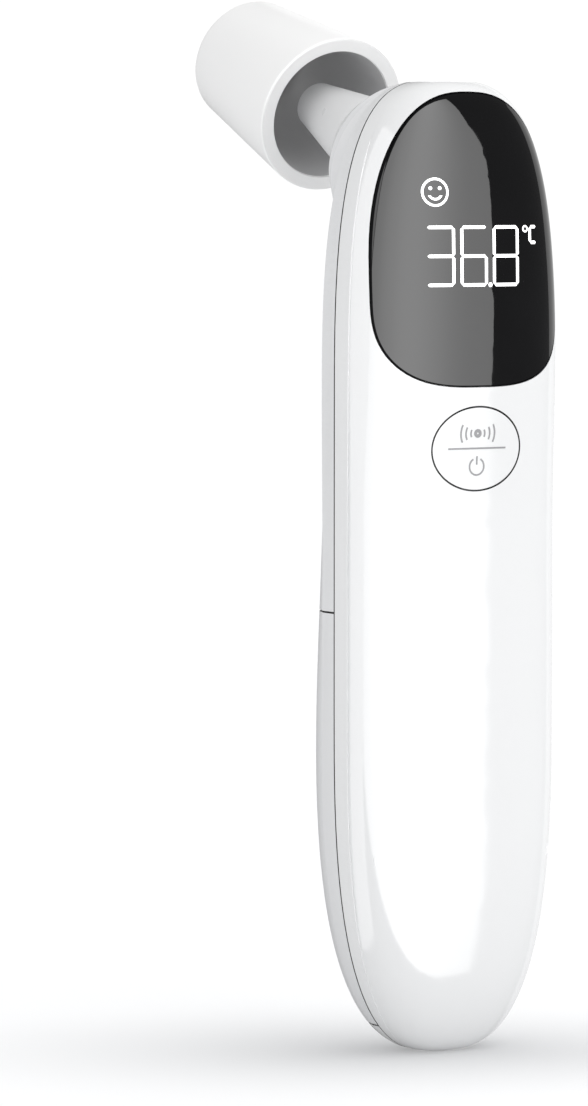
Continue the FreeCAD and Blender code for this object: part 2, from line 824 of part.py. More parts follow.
def sensor_ribbon():
    """Flat cable from the thermopile's pins, through the stem, down to the board's socket."""
    thickness = 0.2
    half = 2.2
    tilt = math.radians(probe_tilt)
    along = Vector(0, math.cos(tilt), math.sin(tilt))
    seat = Vector(0, seat_y, seat_z)
    socket_y = board_back + socket_height / 2
    bend = 2.5
    start = seat + along * (can_low - 5.2)
    hang_y = socket_y + bend
    run = (seat.y - hang_y - bend) / along.y
    turn = seat - along * run
    centre = turn + Vector(0, math.sin(tilt), -math.cos(tilt)) * bend
    path = [start]
    for step in range(9):
        angle = math.pi / 2 + tilt + (math.pi / 2 - tilt) * step / 8
        path.append(centre + Vector(0, math.cos(angle), math.sin(angle)) * bend)
    foot_z = socket_z + 1.5 + thickness + bend
    centre = Vector(0, path[-1].y - bend, foot_z)
    for step in range(9):
        angle = -math.pi / 2 * step / 8
        path.append(centre + Vector(0, math.cos(angle), math.sin(angle)) * bend)
    left = []
    right = []
    for index, point in enumerate(path):
        before = path[max(index - 1, 0)]
        after = path[min(index + 1, len(path) - 1)]
        way = (after - before).normalize()
        side = Vector(0, -way.z, way.y) * (thickness / 2)
        left.append(point + side)
        right.append(point - side)
    outline = left + right[::-1]
    face = Part.Face(Part.makePolygon(outline + outline[:1]))
    face.translate(Vector(-half, 0, 0))
    return face.extrude(Vector(2 * half, 0, 0))


# ---- forehead cap -----------------------------------------------------------------------------------------------
cap_base = collar_height + cap_pulled


def cap_outer(height):
    return cap_mouth_radius + (cap_end_radius - cap_mouth_radius) * height / cap_length


def forehead_cap():
    """Tapered cap, open at the mouth, with a round measuring window in its far end."""
    inner_end = cap_length - cap_end_wall
    lip = cap_outer(0) - cap_wall - 0.5
    rebate = lip + liner_thickness
    shell = revolve([
        (cap_outer(0), 0),
        (cap_end_radius, cap_length),
        (cap_window_radius, cap_length),
        (cap_window_radius, inner_end),
        (cap_outer(inner_end) - cap_wall, inner_end),
        (rebate, cap_lip),
        (lip, cap_lip),
        (lip, 0),
    ])
    far_edge = [edge for edge in shell.Edges
                if edge.BoundBox.ZMin > cap_length - 1e-6 and edge.BoundBox.XMax > cap_end_radius - 0.5]
    shell = shell.makeFillet(cap_edge, far_edge)
    mouth_edge = [edge for edge in shell.Edges
                  if edge.BoundBox.ZMax < 1e-6 and edge.BoundBox.XMax > cap_mouth_radius - 0.5]
    shell = shell.makeFillet(0.35, mouth_edge)
    for pocket in magnet_rods(0.05):
        shell = shell.cut(pocket)
    shell.translate(Vector(0, 0, cap_base))
    return on_probe(shell)


def magnet_rods(clearance):
    """Small bar magnets set lengthwise in the cap's mouth, evenly spaced."""
    rods = []
    radius = cap_mouth_radius - 1.15
    for step in range(magnet_count):
        angle = 2 * math.pi * (step + 0.5) / magnet_count
        rods.append(rod_z(radius * math.cos(angle), radius * math.sin(angle),
                          magnet_radius + clearance, 0.5 - clearance / 2,
                          0.5 + magnet_length + clearance / 2))
    return rods


def cap_magnets():
    magnets = Part.makeCompound(magnet_rods(0.0))
    magnets.translate(Vector(0, 0, cap_base))
    return on_probe(magnets)


def cap_liner():
    """Thin grey sleeve that lines the cap's inside."""
    inner_end = cap_length - cap_end_wall
    mouth = cap_outer(0) - cap_wall - 0.5 + liner_thickness
    end = cap_outer(inner_end) - cap_wall
    low = cap_lip + 0.02
    high = inner_end - 0.02
    slope = (end - mouth) / (inner_end - cap_lip)
    outer_low = mouth + slope * (low - cap_lip) - 0.03
    outer_high = mouth + slope * (high - cap_lip) - 0.03
    liner = revolve([
        (outer_low - liner_thickness, low),
        (outer_low, low),
        (outer_high, high),
        (cap_window_radius, high),
        (cap_window_radius, high - liner_thickness),
        (outer_high - liner_thickness, high - liner_thickness),
    ])
    for pocket in magnet_rods(0.05):
        liner = liner.cut(pocket)
    liner.translate(Vector(0, 0, cap_base))
    return on_probe(liner)


# ---- the whole object ----------------------------------------------------------------------------------------------
PIECES = {
    "front_shell": front_shell,
    "back_shell": back_shell,
    "battery_cover": battery_cover,
    "display_lens": display_lens,
    "lens_gasket": lens_gasket,
    "display_module": display_module,
    "display_segments": display_segments,
    "main_board": main_board,
    "board_components": board_components,
    "buzzer": buzzer,
    "hall_sensor": hall_sensor,
    "tact_switch": tact_switch,
    "switch_plunger": switch_plunger,
    "scan_button": scan_button,
    "probe_collar": probe_collar,
    "seat_ring": seat_ring,
    "ear_probe": ear_probe,
    "probe_nut": probe_nut,
    "tip_window": tip_window,
    "waveguide_tube": waveguide_tube,
    "sensor_holder": sensor_holder,
    "thermopile_sensor": thermopile_sensor,
    "sensor_ribbon": sensor_ribbon,
    "forehead_cap": forehead_cap,
    "cap_liner": cap_liner,
    "cap_magnets": cap_magnets,
    "battery_tray": battery_tray,
    "battery_left": lambda: cell(left_cell_x, True),
    "battery_right": lambda: cell(right_cell_x, False),
    "battery_springs": battery_springs,
    "contact_plates": contact_plates,
    "case_screws": case_screws,
    "board_screws": board_screws,
}


def main():
    os.makedirs("parts", exist_ok=True)
    for name, make in PIECES.items():
        shape = make()
        print(name, "solids", len(shape.Solids), "valid", shape.isValid(),
              "volume", round(shape.Volume, 1))
        shape.exportStep("parts/" + name + ".step")


main()
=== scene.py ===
"""Looks for a hand-held infrared ear thermometer, built around its packed design.

Lengths in the property groups are in millimetres; the scene is in metres.  +Z runs up the body, the
display faces -Y and the probe points back and up along the cap's slide axis.
"""

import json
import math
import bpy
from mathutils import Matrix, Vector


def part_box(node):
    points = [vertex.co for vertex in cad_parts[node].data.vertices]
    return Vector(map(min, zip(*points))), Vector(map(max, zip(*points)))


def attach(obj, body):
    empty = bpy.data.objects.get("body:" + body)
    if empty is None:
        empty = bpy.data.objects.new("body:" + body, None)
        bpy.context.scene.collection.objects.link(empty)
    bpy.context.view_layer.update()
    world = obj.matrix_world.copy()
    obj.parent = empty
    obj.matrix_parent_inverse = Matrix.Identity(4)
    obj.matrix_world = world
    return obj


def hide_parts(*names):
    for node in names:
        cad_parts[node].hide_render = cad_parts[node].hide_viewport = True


bl_info = {
    "name": "Ear thermometer looks",
    "version": (1, 0, 0),
    "blender": (4, 5, 0),
    "location": "3D View > Sidebar > Thermometer",
    "description": "Builds the casing, lens, figures, probe and cap of an ear thermometer",
    "category": "Object",
}

import bpy
from mathutils import Matrix, Vector

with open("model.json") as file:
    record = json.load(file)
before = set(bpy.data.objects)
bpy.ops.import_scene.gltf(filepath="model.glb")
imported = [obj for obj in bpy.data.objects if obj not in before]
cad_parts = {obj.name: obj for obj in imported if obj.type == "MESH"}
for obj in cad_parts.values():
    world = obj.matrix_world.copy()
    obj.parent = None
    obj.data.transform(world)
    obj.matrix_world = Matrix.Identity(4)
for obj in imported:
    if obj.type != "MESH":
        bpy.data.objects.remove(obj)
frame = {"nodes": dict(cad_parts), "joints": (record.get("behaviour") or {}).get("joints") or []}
NODES = frame["nodes"]
MM = 0.001
ROOT = "thermometer"


# ---- what the design says ----------------------------------------------------
def design_axis():
    """Direction of the probe, from the cap's slide joint."""
    for joint in frame["joints"]:
        if joint["name"] == "cap_pull":
            return Vector(joint["axis"]).normalized()
    raise RuntimeError("the design has no cap_pull joint")


def middle_of(node):
    low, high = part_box(node)
    return (low + high) / 2


PROBE_AXIS = design_axis()
SEAT_RING_MIDDLE = -0.4 * MM    # height of the seat ring's middle above the probe seat
PROBE_SEAT = middle_of("seat_ring") - PROBE_AXIS * SEAT_RING_MIDDLE
CASING_LOW, CASING_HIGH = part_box("front_shell")
BODY_LENGTH = round((CASING_HIGH.z - CASING_LOW.z) / MM, 1)
BODY_WIDTH = 37.4                # at its widest, in millimetres
BUTTON_LOW, BUTTON_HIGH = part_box("scan_button")
BUTTON_MIDDLE = round((BUTTON_LOW.z + BUTTON_HIGH.z) / 2 / MM, 1)
KEY_HALF_X = 7.875               # half of the scan button's face across, in millimetres
KEY_HALF_Z = 6.35                # and half of it up and down
KEY_GAP = 0.2                    # between the scan button and its hole
SEAM = 0.25                      # gap between the shells, and round the battery cover
CUP_HEIGHT = 4.0                 # the front shell's base cup ends here


def length(name, description, default):
    return bpy.props.FloatProperty(name=name, description=description, default=default, min=0.0,
                                   soft_max=500.0, precision=2)


def colour(name, description, default):
    return bpy.props.FloatVectorProperty(name=name, description=description, default=default, size=4,
                                         subtype="COLOR", min=0.0, max=1.0)


class ThermometerSizes(bpy.types.PropertyGroup):
    """Sizes in millimetres that the pieces are drawn from."""

    front_depth: length("Front depth", "Parting plane to the front face at the button", 10.8)
    head_depth: length("Head depth", "Parting plane to the front face at the display", 12.2)
    neck_back: length("Neck back depth", "Parting plane to the back above the battery cover", 9.2)
    grip_back: length("Grip back depth", "Parting plane to the back over the batteries", 13.9)
    base_round: length("Base rounding", "Height over which the lower end closes in", 52.0)
    crown_round: length("Crown rounding", "Height over which the top closes in", 50.0)
    cover_top: length("Cover top", "Height of the battery cover's top edge", 68.5)
    lens_width: length("Lens width", "Widest line of the display lens", 33.8)
    lens_below: length("Lens depth", "Height of the lens's widest line below the crown", 32.5)
    lens_rise: length("Lens rise", "From the lens's widest line to its top", 31.0)
    lens_drop: length("Lens drop", "From the lens's widest line to its bottom", 14.2)
    lens_border: length("Lens border", "Width of the dull rim printed round the lens", 0.32)
    figure_relief: length("Figure relief", "How far the lit figures stand off the lens", 0.03)
    mark_width: length("Mark width", "Stroke width of the marks on the scan button", 0.26)
    collar_radius: length("Collar radius", "Outer radius of the probe collar", 12.0)
    collar_bore: length("Collar bore", "Inner radius of the probe collar", 10.0)
    collar_height: length("Collar height", "Collar's top above the probe seat", 2.0)
    collar_drop: length("Collar drop", "Collar's lower edge below the probe seat", 1.5)
    probe_length: length("Probe length", "Probe tip above the probe seat", 27.5)
    probe_tip: length("Probe tip radius", "Radius of the probe at its tip", 3.45)
    probe_shoulder: length("Probe shoulder radius", "Radius where the flare meets the cone", 6.9)
    cap_stand: length("Cap stand", "Cap's mouth above the collar's top at rest", 19.8)
    cap_length: length("Cap length", "Mouth to far end", 28.2)
    cap_mouth: length("Cap mouth radius", "Outer radius at the mouth", 12.75)
    cap_end: length("Cap end radius", "Outer radius at the far end", 10.0)
    cap_window: length("Cap window radius", "Radius of the measuring window", 4.5)


class ThermometerColours(bpy.types.PropertyGroup):
    """Colours of the finishes that show."""

    casing: colour("Casing", "Gloss white of the front shell", (0.86, 0.865, 0.87, 1))
    back: colour("Back", "White of the back shell and battery cover", (0.80, 0.805, 0.815, 1))
    lens: colour("Lens", "Black of the display lens", (0.004, 0.004, 0.0045, 1))
    figures: colour("Figures", "Light of the display figures", (1.0, 1.0, 1.0, 1))
    marks: colour("Marks", "Grey of the marks on the scan button", (0.30, 0.30, 0.31, 1))
    probe: colour("Probe", "Light grey of the ear probe", (0.78, 0.785, 0.79, 1))
    liner: colour("Liner", "Grey of the cap's lining", (0.50, 0.50, 0.505, 1))
    cap: colour("Cap", "White of the forehead cap", (0.97, 0.97, 0.97, 1))


class StudioSettings(bpy.types.PropertyGroup):
    """Camera and light."""

    azimuth: bpy.props.FloatProperty(name="Azimuth", description="How far the camera stands to the "
                                     "left of the display's front", default=math.radians(31),
                                     subtype="ANGLE")
    distance: length("Distance", "Camera to the body's axis", 900.0)
    height: length("Height", "Camera above the floor", 138.0)
    offset: length("Offset", "How far left of the body's axis the camera aims", 22.26)
    pitch: bpy.props.FloatProperty(name="Pitch", description="How far the camera looks down",
                                   default=math.radians(3.863), subtype="ANGLE")
    sun: bpy.props.FloatProperty(name="Sun", description="Strength of the light from above",
                                 default=1.0, min=0.0)
    field: bpy.props.FloatProperty(name="Field of view", description="Vertical field of view",
                                   default=math.radians(10.86), subtype="ANGLE")


def sizes():
    return bpy.context.scene.thermometer_sizes


def colours():
    return bpy.context.scene.thermometer_colours


def studio():
    return bpy.context.scene.thermometer_studio


# ---- the casing's outer form -------------------------------------------------
SECTION_POWER = 2.8              # squareness of every cross-section
LENS_POWERS = (2.5, 3.0)         # squareness of the lens above and below its widest line
END_FLAT = 0.35                  # how much of each rounded end its small flat takes off
BASE_POWERS = {"width": 2.7, "front": 3.5, "back": 2.8}
CROWN_POWERS = {"width": 3.0, "front": 4.5, "back": 3.0}


def closing(distance, reach, power):
    """Share of full size at a distance from a rounded end's pole."""
    share = min(1.0, max(0.0, distance / reach))
    return (1 - (1 - share) ** power) ** (1 / power)


def eased(value, low, high):
    share = min(1.0, max(0.0, (value - low) / (high - low)))
    return share * share * (3 - 2 * share)


def ends(z, side):
    s = sizes()
    low = closing(z + END_FLAT, s.base_round + END_FLAT, BASE_POWERS[side])
    high = closing(BODY_LENGTH + END_FLAT - z, s.crown_round + END_FLAT, CROWN_POWERS[side])
    return low * high


def casing_half_width(z):
    return BODY_WIDTH / 2 * ends(z, "width")


def casing_front(z):
    s = sizes()
    rise = eased(z, BUTTON_MIDDLE - 12, BUTTON_MIDDLE + 18)
    return (s.front_depth + (s.head_depth - s.front_depth) * rise) * ends(z, "front")


def casing_back(z):
    s = sizes()
    fall = eased(z, s.cover_top - 24, s.cover_top + 32)
    return (s.grip_back + (s.neck_back - s.grip_back) * fall) * ends(z, "back")


def casing_level(point):
    """1 on the casing's outer surface, less inside it and more outside; point in millimetres."""
    depth = casing_front(point.z) if point.y < 0 else casing_back(point.z)
    across = abs(point.x) / max(casing_half_width(point.z), 0.01)
    through = abs(point.y) / max(depth, 0.01)
    return (across ** SECTION_POWER + through ** SECTION_POWER) ** (1 / SECTION_POWER)


def casing_normal(point):
    """Outward direction of the casing at a point, and the point's distance from the surface."""
    step = 0.02
    level = casing_level(point)
    slope = Vector((0, 0, 0))
    for axis in range(3):
        ahead = point.copy()
        behind = point.copy()
        ahead[axis] += step
        behind[axis] -= step
        slope[axis] = (casing_level(ahead) - casing_level(behind)) / (2 * step)
    size = max(slope.length, 1e-6)
    return slope / size, (level - 1) / size


def front_face(x, z):
    """How far the casing's front stands before the parting plane, in millimetres."""
    across = min(1.0, abs(x) / casing_half_width(z))
    return casing_front(z) * (1 - across ** SECTION_POWER) ** (1 / SECTION_POWER)


# ---- modelling helpers -------------------------------------------------------
def select_only(piece):
    bpy.ops.object.select_all(action="DESELECT")
    piece.select_set(True)
    bpy.context.view_layer.objects.active = piece


def start_edit(piece):
    select_only(piece)
    bpy.ops.object.mode_set(mode="EDIT")
    bpy.ops.mesh.select_all(action="SELECT")


def end_edit():
    bpy.ops.object.mode_set(mode="OBJECT")


def smooth(piece, angle=30):
    select_only(piece)
    bpy.ops.object.shade_smooth_by_angle(angle=math.radians(angle))


def apply_place(piece):
    select_only(piece)
    bpy.ops.object.transform_apply(location=True, rotation=True, scale=True)


def apply_modifiers(piece):
    select_only(piece)
    for modifier in list(piece.modifiers):
        bpy.ops.object.modifier_apply(modifier=modifier.name)


def face_outwards(piece):
    start_edit(piece)
    bpy.ops.mesh.remove_doubles(threshold=0.001 * MM)
    bpy.ops.mesh.normals_make_consistent(inside=False)
    end_edit()


def settle(piece, body, replaced=()):
    """Fixes a finished piece to its body and hides the design nodes it stands for."""
    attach(piece, body)
    if replaced:
        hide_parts(*replaced)
    return piece


def merged_copy(node, name):
    """A new piece from a design node's shape, with its loose triangles joined up."""
    piece = bpy.data.objects.new(name, NODES[node].data.copy())
    bpy.context.scene.collection.objects.link(piece)
    piece.data.name = name
    select_only(piece)
    if piece.data.has_custom_normals:
        bpy.ops.mesh.customdata_custom_splitnormals_clear()
    start_edit(piece)
    bpy.ops.mesh.remove_doubles(threshold=0.002 * MM)
    end_edit()
    smooth(piece)
    return piece


MOST_TRIANGLES = 180000          # of any one piece


def thin_out(piece):
    """Brings a piece that has too many triangles down to the most allowed."""
    count = sum(len(face.vertices) - 2 for face in piece.data.polygons)
    if count > MOST_TRIANGLES:
        fewer = piece.modifiers.new("fewer", "DECIMATE")
        fewer.ratio = MOST_TRIANGLES / count
        apply_modifiers(piece)


SKIN_REACH = 0.12                # how near the outer form a corner counts as on it, in millimetres
SKIN_FACING = 0.8                # and how nearly its face must point the form's way


def polish_casing(piece):
    """Lays the outer form's own normals on the faces that lie on it, so gloss runs unbroken."""
    mesh = piece.data
    corners = {}
    for vertex in mesh.vertices:
        point = vertex.co / MM
        direction, distance = casing_normal(point)
        if abs(distance) < SKIN_REACH:
            corners[vertex.index] = direction
    normals = [Vector((0, 0, 0))] * len(mesh.loops)
    for face in mesh.polygons:
        for loop in face.loop_indices:
            direction = corners.get(mesh.loops[loop].vertex_index)
            if direction is not None and face.normal.dot(direction) > SKIN_FACING:
                normals[loop] = direction
            else:
                normals[loop] = mesh.corner_normals[loop].vector.copy()
    mesh.normals_split_custom_set(normals)


def lathe(name, profile, segments=128):
    """A closed outline of (radius, height) in millimetres, turned about the probe's axis."""
    bpy.ops.object.select_all(action="DESELECT")
    first = profile[0]
    bpy.ops.mesh.primitive_circle_add(vertices=segments, radius=first[0] * MM,
                                      location=(0, 0, first[1] * MM))
    piece = bpy.context.object
    piece.name = name
    piece.data.name = name
    apply_place(piece)
    start_edit(piece)
    before = first
    for point in profile[1:] + profile[:1]:
        bpy.ops.mesh.extrude_edges_move(
            TRANSFORM_OT_translate={"value": (0, 0, (point[1] - before[1]) * MM)})
        share = point[0] / before[0]
        bpy.ops.transform.resize(value=(share, share, 1))
        before = point
    end_edit()
    face_outwards(piece)
    return piece


def rounded(corners, radii, steps=5):
    """A closed outline with each corner turned to an arc of its radius."""
    points = []
    count = len(corners)
    for index, corner in enumerate(corners):
        here = Vector(corner)
        radius = radii.get(index, 0)
        if radius == 0:
            points.append(tuple(here))
            continue
        before = (Vector(corners[index - 1]) - here).normalized()
        after = (Vector(corners[(index + 1) % count]) - here).normalized()
        half = before.angle(after) / 2
        reach = radius / math.tan(half)
        centre = here + (before + after).normalized() * (radius / math.sin(half))
        start = here + before * reach - centre
        end = here + after * reach - centre
        turn = start.angle_signed(end)
        for step in range(steps + 1):
            spoke = start.copy()
            spoke.rotate(Matrix.Rotation(-turn * step / steps, 2))
            points.append(tuple(centre + spoke))
    return points


def arc(start, end, bulge, steps=10):
    """Points from start to end along an arc that leaves the chord by bulge; start is left out."""
    a = Vector(start)
    b = Vector(end)
    chord = b - a
    half = chord.length / 2
    radius = (half * half + bulge * bulge) / (2 * abs(bulge))
    side = Vector((-chord.y, chord.x)).normalized() * math.copysign(1, bulge)
    centre = (a + b) / 2 + side * (abs(bulge) - radius)
    sweep = 2 * math.asin(min(1.0, half / radius))
    points = []
    for step in range(1, steps + 1):
        spoke = a - centre
        spoke.rotate(Matrix.Rotation(-math.copysign(sweep, bulge) * step / steps, 2))
        points.append(tuple(centre + spoke))
    return points


def seat_on_probe(piece, angle=30):
    """Turns a lathed piece onto the probe's axis and finishes its shading."""
    turn = Vector((0, 0, 1)).rotation_difference(PROBE_AXIS)
    piece.rotation_mode = "QUATERNION"
    piece.rotation_quaternion = turn
    piece.location = PROBE_SEAT
    apply_place(piece)
    smooth(piece, angle)
    return piece


# ---- finishes ----------------------------------------------------------------
def new_material(name):
    made = bpy.data.materials.new(name)
    made.use_nodes = True
    return made, made.node_tree.nodes, made.node_tree.links


def new_finish(name):
    """A material with its nodes, its links, its shader and the place that its patterns read."""
    made, nodes, links = new_material(name)
    place = nodes.new("ShaderNodeTexCoord").outputs["Object"]
    return made, nodes, links, nodes["Principled BSDF"], place


def noise(nodes, links, coordinates, scale, detail=3.0, stretch=(1, 1, 1)):
    """A noise pattern; scale is in features per millimetre."""
    mapping = nodes.new("ShaderNodeMapping")
    mapping.inputs["Scale"].default_value = [1000 * scale * part for part in stretch]
    links.new(coordinates, mapping.inputs["Vector"])
    pattern = nodes.new("ShaderNodeTexNoise")
    pattern.inputs["Scale"].default_value = 1.0
    pattern.inputs["Detail"].default_value = detail
    links.new(mapping.outputs["Vector"], pattern.inputs["Vector"])
    return pattern.outputs["Fac"]


def ranged(nodes, links, value, start, end, low, high, clamp=True):
    """A value mapped from start to end onto low to high."""
    node = nodes.new("ShaderNodeMapRange")
    node.clamp = clamp
    limits = {"From Min": start, "From Max": end, "To Min": low, "To Max": high}
    for key, limit in limits.items():
        node.inputs[key].default_value = limit
    links.new(value, node.inputs["Value"])
    return node.outputs["Result"]


def spread(nodes, links, pattern, low, high):
    """Spreads a noise pattern, which keeps near its middle, over a range."""
    return ranged(nodes, links, pattern, 0.3, 0.7, low, high)


def apart(nodes, links, vector):
    """The X, Y and Z outputs of a vector."""
    split = nodes.new("ShaderNodeSeparateXYZ")
    links.new(vector, split.inputs["Vector"])
    return split.outputs


def ramped(nodes, links, value, interpolation, stops):
    """The colours of (share, colour) stops, looked up with a value."""
    node = nodes.new("ShaderNodeValToRGB")
    node.color_ramp.interpolation = interpolation
    elements = node.color_ramp.elements
    for element, (share, shown) in zip(elements, (stops[0], stops[-1])):
        element.position = share
        element.color = shown
    for share, shown in stops[1:-1]:
        elements.new(share).color = shown
    links.new(value, node.inputs["Fac"])
    return node.outputs["Color"]


def mixed(nodes, links, factor, first, second):
    """A colour between two colours or colour outputs."""
    mix = nodes.new("ShaderNodeMix")
    mix.data_type = "RGBA"
    links.new(factor, mix.inputs["Factor"])
    for socket, value in ((mix.inputs["A"], first), (mix.inputs["B"], second)):
        if isinstance(value, bpy.types.NodeSocket):
            links.new(value, socket)
        else:
            socket.default_value = value
    return mix.outputs["Result"]


def shade(tint, share):
    return (tint[0] * share, tint[1] * share, tint[2] * share, 1)


def bumped(nodes, links, height, strength, depth_mm, shader):
    bump = nodes.new("ShaderNodeBump")
    bump.inputs["Strength"].default_value = strength
    bump.inputs["Distance"].default_value = depth_mm * MM
    links.new(height, bump.inputs["Height"])
    links.new(bump.outputs["Normal"], shader.inputs["Normal"])


def moulded(name, tint, roughness, grain=0.5, grain_depth=0.01, tone=0.02, metal=0.0, sheen=0.5):
    """Moulded plastic: a slow drift of tone, uneven gloss and the fine skin of the tool."""
    made, nodes, links, shader, place = new_finish(name)
    drift = noise(nodes, links, place, 0.03, 2.0)
    base = mixed(nodes, links, spread(nodes, links, drift, 0, 1), shade(tint, 1 - tone),
                 shade(tint, 1 + tone))
    links.new(base, shader.inputs["Base Color"])
    wipe = noise(nodes, links, place, 0.12, 4.0)
    links.new(spread(nodes, links, wipe, roughness * 0.94, roughness * 1.08), shader.inputs["Roughness"])
    skin = noise(nodes, links, place, grain * 6, 4.0)
    bumped(nodes, links, skin, grain, grain_depth, shader)
    shader.inputs["Metallic"].default_value = metal
    shader.inputs["Specular IOR Level"].default_value = sheen
    return made


def metal(name, tint, roughness, stretch=(1, 1, 12)):
    """Turned, drawn or plated metal with fine scratches along one way."""
    made, nodes, links, shader, place = new_finish(name)
    lines = noise(nodes, links, place, 1.5, 4.0, stretch)
    base = mixed(nodes, links, spread(nodes, links, lines, 0, 1), shade(tint, 0.85), shade(tint, 1.08))
    links.new(base, shader.inputs["Base Color"])
    links.new(spread(nodes, links, lines, roughness * 0.7, roughness * 1.4), shader.inputs["Roughness"])
    bumped(nodes, links, lines, 0.2, 0.01, shader)
    shader.inputs["Metallic"].default_value = 1.0
    return made


def scaled(nodes, links, value, middle, reach):
    """Distance of a coordinate from middle, as a share of reach; both in millimetres."""
    return ranged(nodes, links, value, middle * MM, (middle + reach) * MM, 0, 1, clamp=False)


def sums(nodes, links, operation, first, second):
    """A math node's result for two values or value outputs."""
    node = nodes.new("ShaderNodeMath")
    node.operation = operation
    for socket, value in zip(node.inputs, (first, second)):
        if isinstance(value, bpy.types.NodeSocket):
            links.new(value, socket)
        else:
            socket.default_value = value
    return node.outputs["Value"]


def border_mask(nodes, links, place, inset):
    """1 on the lens's rim, 0 within it: outside two half superellipses that share a widest line."""
    s = sizes()
    split = apart(nodes, links, place)
    across = scaled(nodes, links, split["X"], 0, s.lens_width / 2 - inset)
    across = sums(nodes, links, "ABSOLUTE", across, 0)
    outside = []
    for reach, power in ((s.lens_rise - inset, LENS_POWERS[0]), (inset - s.lens_drop, LENS_POWERS[1])):
        along = scaled(nodes, links, split["Z"], BODY_LENGTH - s.lens_below, reach)
        along = sums(nodes, links, "MAXIMUM", along, 0)
        total = sums(nodes, links, "ADD", sums(nodes, links, "POWER", across, power),
                     sums(nodes, links, "POWER", along, power))
        outside.append(sums(nodes, links, "GREATER_THAN", total, 1))
    return sums(nodes, links, "MAXIMUM", outside[0], outside[1])


SEAM_REACH = 0.15                # half width of the band of painted shade at a seam or rim, in millimetres
SHADE_LAP = 0.05                 # how far the painted shade round the scan button laps onto its edges
PAINTED_GAP_SHADE = 0.12                 # share of a piece's own tone left inside a gap, as painted shade
RIM_SHADE = 0.84                 # tone of the painted shade on the cap's mouth beside its sides


def near_line(nodes, links, value, middle):
    """1 where a coordinate lies within SEAM_REACH of middle, in millimetres, 0 elsewhere."""
    share = sums(nodes, links, "ABSOLUTE", scaled(nodes, links, value, middle, SEAM_REACH), 0)
    return sums(nodes, links, "LESS_THAN", share, 1)


def within_oval(nodes, links, split, half_x, half_z):
    """1 inside an oval round the scan button's middle, 0 outside it; half widths in millimetres."""
    x = scaled(nodes, links, split["X"], 0, half_x)
    z = scaled(nodes, links, split["Z"], BUTTON_MIDDLE, half_z)
    total = sums(nodes, links, "ADD", sums(nodes, links, "MULTIPLY", x, x),
                 sums(nodes, links, "MULTIPLY", z, z))
    return sums(nodes, links, "LESS_THAN", total, 1)


def paint_shade_where(nodes, links, mask, tone):
    """Paints shade: puts a darker tone over a finish's own colour where the mask is 1."""
    base = nodes["Principled BSDF"].inputs["Base Color"]
    links.new(mixed(nodes, links, mask, base.links[0].from_socket, tone), base)


def paint_gap_shade(made, tint, seams=(), hole=None, key=None):
    """Paints shade on the faces inside the narrow gaps round a piece: seams are (axis, middle) pairs."""
    nodes, links = made.node_tree.nodes, made.node_tree.links
    split = apart(nodes, links, nodes.new("ShaderNodeTexCoord").outputs["Object"])
    masks = [near_line(nodes, links, split[axis], middle) for axis, middle in seams]
    if hole:
        masks.append(within_oval(nodes, links, split, *hole))
    if key:
        inside = within_oval(nodes, links, split, *key)
        masks.append(sums(nodes, links, "SUBTRACT", 1, inside))
    total = masks[0]
    for mask in masks[1:]:
        total = sums(nodes, links, "MAXIMUM", total, mask)
    paint_shade_where(nodes, links, total, shade(tint, PAINTED_GAP_SHADE))


def paint_rim_shade(made, tint, height):
    """Paints shade on the flat rim that lies at a height above the probe seat, in millimetres, greying it.
    """
    nodes, links = made.node_tree.nodes, made.node_tree.links
    along = nodes.new("ShaderNodeVectorMath")
    along.operation = "DOT_PRODUCT"
    links.new(nodes.new("ShaderNodeTexCoord").outputs["Object"], along.inputs[0])
    along.inputs[1].default_value = PROBE_AXIS
    middle = PROBE_SEAT.dot(PROBE_AXIS) / MM + height
    rim = near_line(nodes, links, along.outputs["Value"], middle)
    paint_shade_where(nodes, links, rim, shade(tint, RIM_SHADE))


def gloss_lens(name, tint):
    """Black-backed acrylic with a dull printed rim: deep gloss with faint wipe marks."""
    made, nodes, links, shader, place = new_finish(name)
    cloud = noise(nodes, links, place, 0.05, 3.0)
    base = mixed(nodes, links, spread(nodes, links, cloud, 0, 1), shade(tint, 0.8), shade(tint, 1.4))
    links.new(base, shader.inputs["Base Color"])
    wipe = noise(nodes, links, place, 0.4, 5.0, (1, 1, 0.3))
    links.new(spread(nodes, links, wipe, 0.012, 0.03), shader.inputs["Roughness"])
    ripple = noise(nodes, links, place, 0.05, 1.0)
    bumped(nodes, links, ripple, 0.03, 0.02, shader)
    rim = border_mask(nodes, links, place, sizes().lens_border)
    gloss = ranged(nodes, links, rim, 0, 1, 0.5, 0.02)
    links.new(gloss, shader.inputs["Specular IOR Level"])
    return made


def lit(name, tint, strength):
    """Light of a display figure through its diffuser."""
    made, nodes, links, shader, place = new_finish(name)
    glow = noise(nodes, links, place, 1.2, 2.0)
    base = mixed(nodes, links, spread(nodes, links, glow, 0, 1), shade(tint, 0.9), shade(tint, 1.0))
    links.new(base, shader.inputs["Base Color"])
    links.new(base, shader.inputs["Emission Color"])
    shader.inputs["Emission Strength"].default_value = strength
    shader.inputs["Roughness"].default_value = 0.4
    return made


